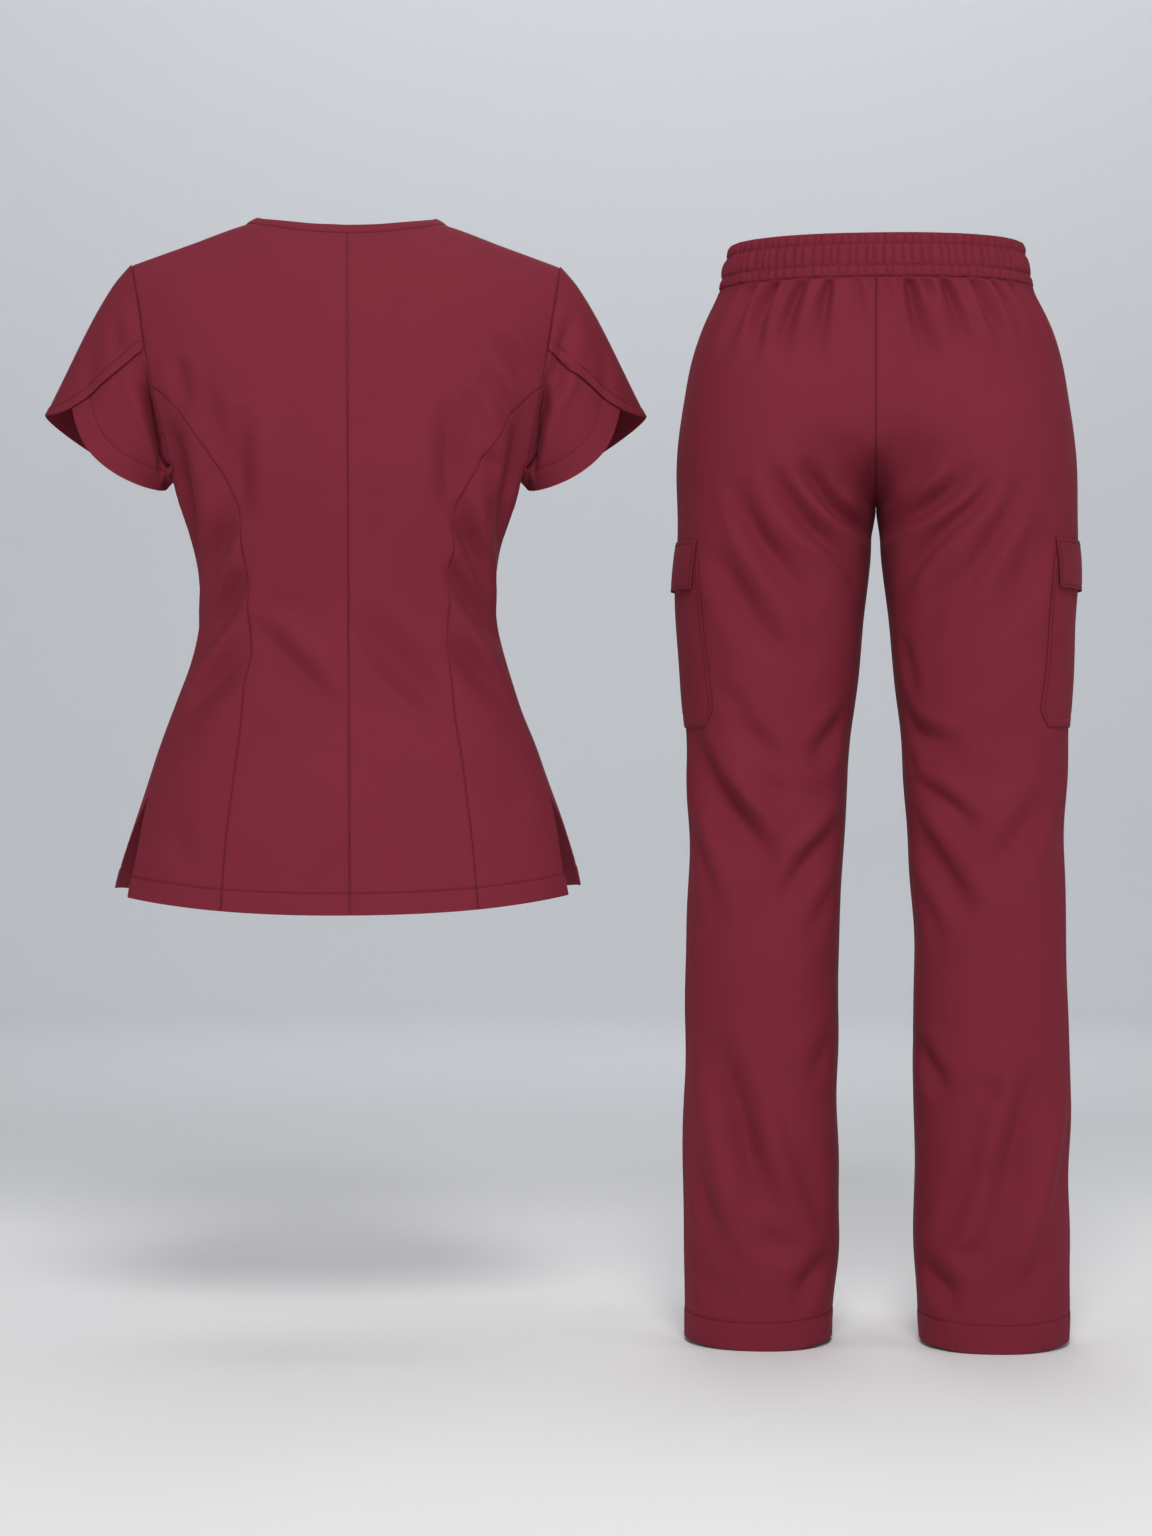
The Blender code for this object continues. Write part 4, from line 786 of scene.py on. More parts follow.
top_grids = {}
for kind, half in zip(("back", "side_back", "front"), top_half()):
    top_grids[kind + "_right"], top_grids[kind + "_left"] = half, mirrored(half)
top_normals = shared_normals(top_grids)
for kind, plain_grid in top_grids.items():
    rolled = roll(np.abs(plain_grid[..., 0]), plain_grid[..., 2])
    shoulders = np.clip((1 + RIDGE_CALM) * rolled - RIDGE_CALM, 0, 1)
    creased_grid = creased(plain_grid, top_normals[kind], TOP_CREASES, on_top, shoulders)
    top_grids[kind] = waved(creased_grid, top_normals[kind], TOP_WAVES, shoulders)

# The armhole's points, from the underarm up the back, over the shoulder and down the front.
armhole_rings = {}
UPPER_ROWS = OVERLAP_ROWS + ARMHOLE_ROWS
for side in ("_right", "_left"):
    centre, side_back, front = (top_grids[kind + side] for kind in ("back", "side_back", "front"))
    if side == "_left":
        centre, side_back, front = mirrored(centre), mirrored(side_back), mirrored(front)
    down_back = np.concatenate([centre[: UPPER_ROWS + 1, -1], side_back[0, 1:]])
    down_front = front[: UPPER_ROWS + SIDE_COLUMNS + 1, 0]
    armhole_rings[side] = np.concatenate([down_back[::-1], down_front[1:]])


# The sleeves -------------------------------------------------------------------------------------------
# Short petal sleeves of the same twill. A front petal is laid over a back petal at the head of the sleeve,
# and both are sewn into the armhole and joined under the arm. Each petal's edge is turned in and stitched.

# The sleeve on the +X side: its opening's outer and inner corners, and how far the petals' hems belly.
SLEEVE_OUTER_CORNER = (278.5, -180.2)
SLEEVE_INNER_CORNER = (168.0, -247.6)
SLEEVE_AXIS = (0.478, 0.0, -0.878)
SLEEVE_CAP_DIRECTION = (0.64, 0.0, -0.77)
SLEEVE_HALF_DEPTH = 47
BACK_HEM_BELLY = 14
FRONT_HEM_BELLY = 6

# How far down the sleeve each petal reaches, by the turn from the sleeve's outer line to where it overlaps.
FRONT_PETAL_EDGE = table(
    "turn reach",
    (-180, 1.0),
    (-10, 1.0),
    (0, 1.0),
    (18, 0.965),
    (29, 0.93),
    (39, 0.87),
    (47, 0.80),
    (54, 0.70),
    (60.5, 0.55),
    (66, 0.39),
    (70, 0.25),
    (73, 0.12),
    (76, 0.03),
)
BACK_PETAL_EDGE = table(
    "turn reach",
    (-180, 1.0),
    (-100, 1.0),
    (-85, 0.97),
    (-74, 0.935),
    (-60, 0.87),
    (-46, 0.805),
    (-20, 0.69),
    (0, 0.56),
    (25, 0.40),
    (50, 0.22),
    (76, 0.04),
)
PETAL_ROWS = 46
BACK_PETAL_HEM, FRONT_PETAL_HEM = 20, 9
PETAL_HEM_RISE = 2

# The front petal lifts off the back one past a turn, and more a way below the seam.
PETALS_APART, PETALS_APART_AT_SEAM = 2.7, 1.3
LIFT_FROM, LIFT_TURNS, LIFT_WITHIN = -115, 30, 26

# Creases grow from the seam over PINNED_WITHIN. Those of the back keep to turns over BEHIND_FROM.
PINNED_WITHIN, BEHIND_FROM, SLEEVE_EVENING = 7, 2, 6
CLOSE_STEPS = 4

# The fold beside the armhole: its sizes, the heights where it starts and is full, and how much cloth below
# the seam it needs. It leaves the sleeve a share of its half depth.
DIP_DEPTH, DIP_WIDTH, DIP_FROM_SEAM, DIP_PINNED = 20, 8, 7, 4
DIP_TOP, DIP_FULL, DIP_NEEDS = -122, -186, 58
DIP_ROOM = 0.7

# Creases of the left and the right sleeve's back are (across, height) paths. Those of both sleeves'
# fronts are paths of the turn round the sleeve and the reach down it.
SLEEVE_CREASES = creases("left", (
    (9, 5, 0.2, (-200, -112), (-192, -146), (-180, -186)),
    (6, -2.4, 0, (-206, -132), (-196, -170), (-182, -206)),
    (7, 2.7, 0, (-214, -84), (-207, -134), (-188, -196)),
    (8, 1.9, 0, (-230, -110), (-236, -150), (-232, -186)),
)) + creases("right", (
    (9, 6, -0.2, (208, -88), (196, -130), (184, -176)),
    (6, -2.2, 0, (220, -84), (204, -146), (190, -200)),
    (7, 2.7, 0, (202, -136), (190, -168)),
    (8, 1.9, 0, (232, -104), (238, -150), (236, -190)),
)) + creases("front", (
    (11, 5.4, 0, (-104, 0.05), (-112, 0.45), (-124, 0.90)),
    (9, 2.4, 0, (-70, 0.08), (-74, 0.40), (-86, 0.80)),
))


def ring_turns(ring):
    """Each armhole point's turn: 180 at the underarm's back, 0 at the shoulder, -180 at its front."""
    tip, turns = len(ring) // 2, []
    for half, sign in ((ring[: tip + 1][::-1], 1), (ring[tip:], -1)):
        along = distances(half)
        turns.append(sign * 180 * along / along[-1])
    return np.concatenate([turns[0][::-1], turns[1][1:]])


def sleeve_opening(turns):
    """Where each turn reaches the sleeve's hem."""
    outer, inner = np.array(SLEEVE_OUTER_CORNER), np.array(SLEEVE_INNER_CORNER)
    middle, reach = (outer + inner) / 2, (outer - inner) / 2
    turns = np.radians(turns)
    flat = middle + np.cos(turns)[:, None] * reach
    points = np.column_stack([flat[:, 0], -SLEEVE_HALF_DEPTH * np.sin(turns), flat[:, 1]])
    belly = np.where(turns > 0, BACK_HEM_BELLY, FRONT_HEM_BELLY) * np.abs(np.sin(turns))
    return points + belly[:, None] * np.array(SLEEVE_AXIS)


def sleeve_points(ring, turns, reaches):
    """Points of the sleeve: rows of reaches from the armhole (0) to the hem (1), a column for each turn."""
    hem = sleeve_opening(turns)
    length = np.linalg.norm(hem - ring, axis=1)[:, None]
    low = (1 - np.cos(np.radians(turns)))[:, None] / 2
    start = unit((1 - low) * np.array(SLEEVE_CAP_DIRECTION) + low * np.array(SLEEVE_AXIS)) * length
    finish = np.array(SLEEVE_AXIS) * length
    t = reaches[..., None]
    line = (1 + 2 * t) * (1 - t) ** 2 * ring + t**2 * (3 - 2 * t) * hem
    return line + t * (1 - t) ** 2 * start - t**2 * (1 - t) * finish


def on_sleeve(ring, turns, tube):
    """A function that lays the creases' paths on a sleeve, which is worked out on the +X side."""
    behind = tube[:, turns > BEHIND_FROM].reshape(-1, 3)

    def lay(path, face):
        if face == "front":
            rim = np.column_stack([np.interp(path[:, 0], turns[::-1], v[::-1]) for v in ring.T])
            return sleeve_points(rim, path[:, 0], path[None, :, 1])[0]
        apart = (behind[:, 0] - np.abs(path[:, :1])) ** 2 + (behind[:, 2] - path[:, 1:]) ** 2
        return np.column_stack([eased(values, SLEEVE_EVENING) for values in behind[apart.argmin(axis=1)].T])

    return lay


def dipped(grid, normals, turns):
    """A petal with the fold that a hanging sleeve makes beside the lower half of the armhole."""
    from_seam = gaps(grid)["top"]
    low, long = ramp((DIP_TOP - grid[0, :, 2]) / (DIP_TOP - DIP_FULL)), ramp(from_seam[-1] / DIP_NEEDS)
    trough = np.exp(-(((from_seam - DIP_FROM_SEAM) / DIP_WIDTH) ** 2)) * np.clip(from_seam / DIP_PINNED, 0, 1)
    depth, room = DIP_DEPTH * low * long * (turns > 0) * trough, DIP_ROOM * np.abs(grid[..., 1])
    return grid - normals * (depth * room / np.hypot(depth, room + 1e-6))[..., None]


def edge_gap(grid, line):
    """How far each point of a piece is from a line of points, in a straight line."""
    runs = [np.linspace(a, b, CLOSE_STEPS, endpoint=False) for a, b in zip(line, line[1:])]
    close = np.concatenate(runs)
    return np.stack([np.linalg.norm(row[:, None] - close, axis=2).min(axis=1) for row in grid])


sleeve_petals = {}
body_and_sleeves = dict(top_grids)
sleeve_rows = np.linspace(0, 1, PETAL_ROWS + 1)[:, None]
sleeve_tubes = {}
for side, ring in armhole_rings.items():
    turns = ring_turns(ring)
    tube = sleeve_points(ring, turns, sleeve_rows + 0 * turns)
    sleeve_tubes[side] = turns, tube
    body_and_sleeves["tube" + side] = mirrored(tube) if side == "_left" else tube
top_normals = shared_normals(body_and_sleeves)

for side, ring in armhole_rings.items():
    turns, tube = sleeve_tubes[side]
    lay = on_sleeve(ring, turns, tube)
    own_creases = [crease for crease in SLEEVE_CREASES if crease.face in (side[1:], "front")]
    seam_normals = top_normals["tube" + side]
    seam_normals = (mirrored(seam_normals) if side == "_left" else seam_normals)[0]
    last = len(ring) // 2 + OVERLAP_ROWS
    owned = {"back": slice(0, last + 1), "front": slice(len(ring) - last - 1, len(ring))}
    petals = {}
    for which, edge, sign in (("back", BACK_PETAL_EDGE, 1), ("front", FRONT_PETAL_EDGE, -1)):
        reach = smooth(edge, "reach", -sign * turns[owned[which]], by="turn")
        petals[which] = sleeve_points(ring[owned[which]], turns[owned[which]], sleeve_rows * reach)
    normals = shared_normals(petals)
    for which, grid in petals.items():
        pinned = np.clip(gaps(grid)["top"] / PINNED_WITHIN, 0, 1)
        moved = creased(grid, normals[which], own_creases, lay, pinned)
        from_top = turns[owned[which]] * (1 if which == "back" else -1)
        petals[which] = dipped(moved, normals[which], from_top)
        petals[which][0] = ring[owned[which]]
    normals = shared_normals(petals)
    for which, grid in petals.items():
        normals[which][0] = seam_normals[owned[which]]
        if which == "front":
            over = ramp((turns[owned["front"]] - LIFT_FROM) / LIFT_TURNS)
            more = (PETALS_APART - PETALS_APART_AT_SEAM) * ramp(gaps(grid)["top"] / LIFT_WITHIN)
            grid = grid + normals[which] * ((PETALS_APART_AT_SEAM + more) * over)[..., None]
        grid, outward = finer(grid, normals[which])
        if side == "_left":
            grid, outward = mirrored(grid), mirrored(outward)
        sleeve_petals[which + side] = grid, outward

for label, (grid, outward) in sleeve_petals.items():
    which, side = label.split("_")
    edges = gaps(grid)
    underarm = "left" if (which == "back") == (side == "right") else "right"
    seam = np.minimum(edges["top"], edges[underarm])
    stitch = edge_gap(grid, grid[-1]) - (FRONT_PETAL_HEM if which == "front" else BACK_PETAL_HEM)
    sleeve_petals[label] = grid, outward, stitch
    order, cloth = "upper" if which == "front" else "lower", hemmed(seam, stitch, PETAL_HEM_RISE)
    cloth_piece(f"{side}_sleeve_{order}_petal", f"sleeve_{side}_{which}_petal", TOP, grid, outward, cloth)


# The top's panels, now that the sleeves give the normals along the armholes. Closer rows lie along the
# hem's stitches.
top_hem_rows = np.arange(4.0, 7.6, HEM_ROW_STEP)
joined_front = tuple(
    np.concatenate([values["front_right"], values["front_left"][:, 1:]], axis=1)
    for values in (top_grids, top_normals)
)
TopPanel = namedtuple("TopPanel", "piece node vent_sides grid normals")
top_panels = [
    TopPanel(f"{side}_{kind}_panel", f"top_{kind}_{side}", vents, top_grids[label], top_normals[label])
    for side in ("left", "right")
    for kind, vents, label in (("back", (), f"back_{side}"), ("side_back", (side,), f"side_back_{side}"))
]
top_panels.append(TopPanel("front_panel", "top_front", ("left", "right"), *joined_front))
top_hem_lines = []
for panel in top_panels:
    grid, outward = finer(panel.grid, panel.normals, panel.grid.shape[0] - 1 - top_hem_rows)
    edges = gaps(grid)
    vent = edges["bottom"] < VENT_TOP - HEM_BACK_CORNER
    seam = edges["top"]
    for edge in ("left", "right"):
        seam = np.minimum(seam, edges[edge] + (FAR * vent if edge in panel.vent_sides else 0))
    stitch = edges["bottom"] - TOP_HEM
    top_hem_lines.append((grid, outward, stitch))
    cloth_piece(panel.piece, panel.node, TOP, grid, outward, hemmed(seam, stitch))


# The neck's binding ------------------------------------------------------------------------------------
# A strip of the twill folded in two and sewn on round the whole neckline, mitred at the point of the V. It
# stands up at the back in line with the body, and its fold is the neck's edge.

NECKBAND_WIDTH = 11.5
NECKBAND_THICK = 2.0
NECKBAND_ROWS = 12
NECKBAND_PUFF = 0.45
NECK_EVENING = 4
MITRE_LIMIT = 0.4


def neck_loop(of):
    """The body's neckline from the centre back round the right side to the V, and back up the left."""
    back, front = slice(0, NECK_COLUMNS + 1), slice(SHOULDER_COLUMNS, None)
    right = np.concatenate([of["back_right"][0, back], of["front_right"][0, front][1:]])
    left = np.concatenate([of["back_left"][0, ::-1][back], of["front_left"][0, ::-1][front][1:]])
    return np.concatenate([right, left[::-1][1:-1]])


neck_edge, neck_outward = neck_loop(top_grids), neck_loop(top_normals)
neck_along = unit(np.roll(neck_edge, -1, axis=0) - neck_edge)
up_next = -unit(np.cross(neck_along, neck_outward))
up_last = np.roll(up_next, 1, axis=0)
neck_up = unit(up_next + up_last)
from_point = np.abs(np.arange(len(neck_edge)) - len(neck_edge) // 2)[:, None]
at_point = np.clip(1 - from_point / NECK_EVENING, 0, 1)
mitre = 1 / np.maximum(np.sum(neck_up * up_last, axis=1, keepdims=True), MITRE_LIMIT)
even = unit(sum(np.roll(neck_up, by, axis=0) for by in range(-NECK_EVENING, NECK_EVENING + 1)))
neck_up = unit(neck_up * at_point + even * (1 - at_point)) * NECKBAND_WIDTH * (1 + (mitre - 1) * at_point)
neck_share = np.sin(np.linspace(math.pi / 2, -math.pi / 2, NECKBAND_ROWS + 1)) / 2 + 0.5
neck_grid = neck_edge + neck_up * neck_share[:, None, None]
neck_relief = NECKBAND_PUFF * np.sin(neck_share * math.pi)[:, None] + np.zeros(len(neck_edge))
neck_seam = (neck_share * NECKBAND_WIDTH)[:, None] + np.zeros(len(neck_edge))
neck_relief += sunk(neck_seam, SEAM_SINK, SEAM_WIDTH)
cloth_piece(
    "neck_binding",
    "neckband",
    TOP,
    neck_grid,
    np.broadcast_to(neck_outward, neck_grid.shape),
    Cloth(neck_seam, FAR, neck_relief),
    thick=NECKBAND_THICK,
    closed=True,
)


# The top's stitches ------------------------------------------------------------------------------------
# Rows of matching thread, three or four stitches to the centimetre, that hold the hem, and the turned-in
# edges of the petals. Each stitch lies on the cloth and goes down into it at both of its ends.

STITCH_LENGTH, STITCH_GAP, STITCH_DEEPER = 2.5, 0.7, 0.12
THREAD_RADIUS = 0.22
STITCH_SIDES = 6
THREAD_COLOUR = (0.150, 0.0168, 0.0295)
THREAD_LIGHT = 1.35

# A stitch's rings: how far along it, how thick, and how far under its own top.
STITCH_RINGS = table(
    "along thick under",
    (-0.52, 0.45, 0.46),
    (-0.42, 0.9, 0.18),
    (-0.2, 1.0, 0.02),
    (0.2, 1.0, 0.02),
    (0.42, 0.9, 0.18),
    (0.52, 0.45, 0.46),
)


def thread(name):
    """Spun polyester thread with a faint twist."""
    surface, start = new_material(name)
    spot = start.node("TexCoord", {}, {}, "Object")
    ply = start.node("TexNoise", {}, {"Vector": spot, "Scale": 1400.0, "Detail": 1.0}, "Fac")
    tint = start.mixed(ply, THREAD_COLOUR, tuple(THREAD_LIGHT * value for value in THREAD_COLOUR))
    bump = start.node("Bump", {}, {"Strength": 0.3, "Distance": 0.0001, "Height": ply})
    finished(surface, {"Base Color": tint, "Normal": bump}, {"Roughness": 0.6, "Specular IOR Level": 0.1})


thread("thread")


def level_line(grid, normals, field):
    """The points down each column at which a field that falls towards the last row passes 0."""
    rows, columns = [], []
    for column in range(grid.shape[1]):
        rising = field[::-1, column]
        if rising.max() > 0:
            first = np.argmax(rising > 0)
            share = rising[first - 1] / (rising[first - 1] - rising[first])
            rows.append(grid.shape[0] - first - share)
            columns.append(column)
    return surface_at(grid, normals, np.array(rows), np.array(columns))


def sewn_row(name, garment, lines, sink=STITCH_DEEPER):
    """Rows of stitches along lines of points and their normals, joined into one piece."""
    starts, ends, ups = [], [], []
    for line, normals in lines:
        along = distances(line)
        count = int(along[-1] / (STITCH_LENGTH + STITCH_GAP))
        middles = (np.arange(count) + 0.5) * along[-1] / count
        for found, at in ((starts, middles - STITCH_LENGTH / 2), (ends, middles + STITCH_LENGTH / 2)):
            found.append(np.column_stack([np.interp(at, along, values) for values in line.T]))
        ups.append(unit(np.column_stack([np.interp(middles, along, values) for values in normals.T])))
    starts, ends, ups = (np.concatenate(values) for values in (starts, ends, ups))
    sideways = unit(np.cross(ends - starts, ups))
    middle, span = (starts + ends) / 2, ends - starts
    turn = np.arange(STITCH_SIDES) * 2 * math.pi / STITCH_SIDES
    rings = []
    for ring in STITCH_RINGS:
        centre = middle + span * ring.along - ups * (ring.under + sink - THREAD_RADIUS)
        radius = THREAD_RADIUS * ring.thick
        across, above = np.cos(turn)[None, :, None] * radius, np.sin(turn)[None, :, None] * radius
        rings.append(centre[:, None] + sideways[:, None] * across + ups[:, None] * above)
    points = np.stack(rings, axis=1).reshape(-1, 3)
    each = len(STITCH_RINGS) * STITCH_SIDES
    down, across = face_corners(len(STITCH_RINGS), STITCH_SIDES)
    number = np.arange(len(starts))[:, None, None] * each
    quads = (down * STITCH_SIDES + across % STITCH_SIDES + number).reshape(-1, 4).tolist()
    caps = np.array([range(STITCH_SIDES), range(each - 1, each - STITCH_SIDES - 1, -1)])
    quads += (caps[None] + number).reshape(-1, STITCH_SIDES).tolist()
    piece = added_mesh(name, placed(points, garment), quads, "thread")
    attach(piece, "root")


sewn_row("top_hem_stitching", TOP, [level_line(*found) for found in top_hem_lines])
sewn_row("sleeve_hem_stitching", TOP, [level_line(*found) for found in sleeve_petals.values()])


# The trousers' panels ----------------------------------------------------------------------------------
# Two backs and two fronts of the same twill, straight in the leg. They are sewn together along the seat,
# the insides of the legs and outseams that lie behind the widest line, and their hems are stitched.

TROUSERS = Garment((495.5, 0.0, -1043.0), -4.9, 0.0, "trousers_cloth", "trousers_twill")

LEG_LEVELS = table(
    "height outer inner peak back front",
    (982, 146.5, 0, 8, 98, 95),
    (955, 159, 0, 26, 104, 98),
    (917, 171.5, 0, 50, 112, 102),
    (880, 179, 0, 68, 119, 105),
    (842, 184.5, 0, 82, 122, 107),
    (805, 187, 0, 90, 120, 106),
    (779, 187, 0, 93, 115, 102),
    (760, 186.5, 1.8, 94.5, 111, 99),
    (711, 185.5, 5.8, 96, 104, 94),
    (664, 184, 11.8, 98, 98, 90),
    (617, 181.5, 17.5, 100, 93, 86),
    (571, 178.5, 22.3, 100.5, 88, 83),
    (524, 177, 25.5, 101.5, 84, 81),
    (477, 175, 28.8, 102.5, 81, 79),
    (430, 175.5, 32, 104, 80, 78),
    (360, 177.5, 34.5, 106, 80, 78),
    (266, 179.5, 35, 107, 80, 77),
    (126, 180, 35, 107.5, 80, 76),
    (79, 180, 35, 107.5, 79, 76),
    (35, 179.5, 38.2, 109, 79, 75),
    (0, 178.5, 40.5, 109.5, 78, 74),
)
LEG_SQUARENESS = 2.2
CROTCH = 779
SEAT_RISE, SEAT_BLEND = 110, 50
OUTLINE_STEPS = 60
HEM_RISE_SIDE, HEM_RISE_REACH, HEM_BLEND = 4.3, 70, 60
WAIST_FADE = 5
TROUSER_TOP = 981.7
TROUSER_HEM = 26

# The cloth round CROTCH_HEART is evened out: in so many rounds, over a way across and down, and by a share.
CROTCH_HEART = CROTCH + 6
CROTCH_ROUNDS, CROTCH_ACROSS, CROTCH_DOWN, CROTCH_SHARE = 60, 75, 26, 0.8

# Creases fade to SIDE_CREASES of their depth where the cloth turns sideways.
SIDE_CREASES, FACE_CREASES = 0.2, 2.2

OUTSEAM_BACK = 25
POCKET_BACK, POCKET_FRONT = 83, 75
FLAP_TOP, POCKET_TOP, FLAP_BOTTOM = 745.3, 729.0, 700.0
POCKET_CORNER, POCKET_BOTTOM = 587.5, 572.5

LEG_HEIGHTS = (TROUSER_TOP, 800, CROTCH, FLAP_TOP, POCKET_TOP, FLAP_BOTTOM, POCKET_CORNER, POCKET_BOTTOM, 0)
LEG_COUNTS = (46, 10, 8, 5, 9, 28, 5, 143)
SEAT_COLUMNS, POCKET_BACK_COLUMNS, POCKET_FRONT_COLUMNS, LAP_COLUMNS = 56, 14, 26, 50
LEG_ROWS = steps(LEG_HEIGHTS, LEG_COUNTS)

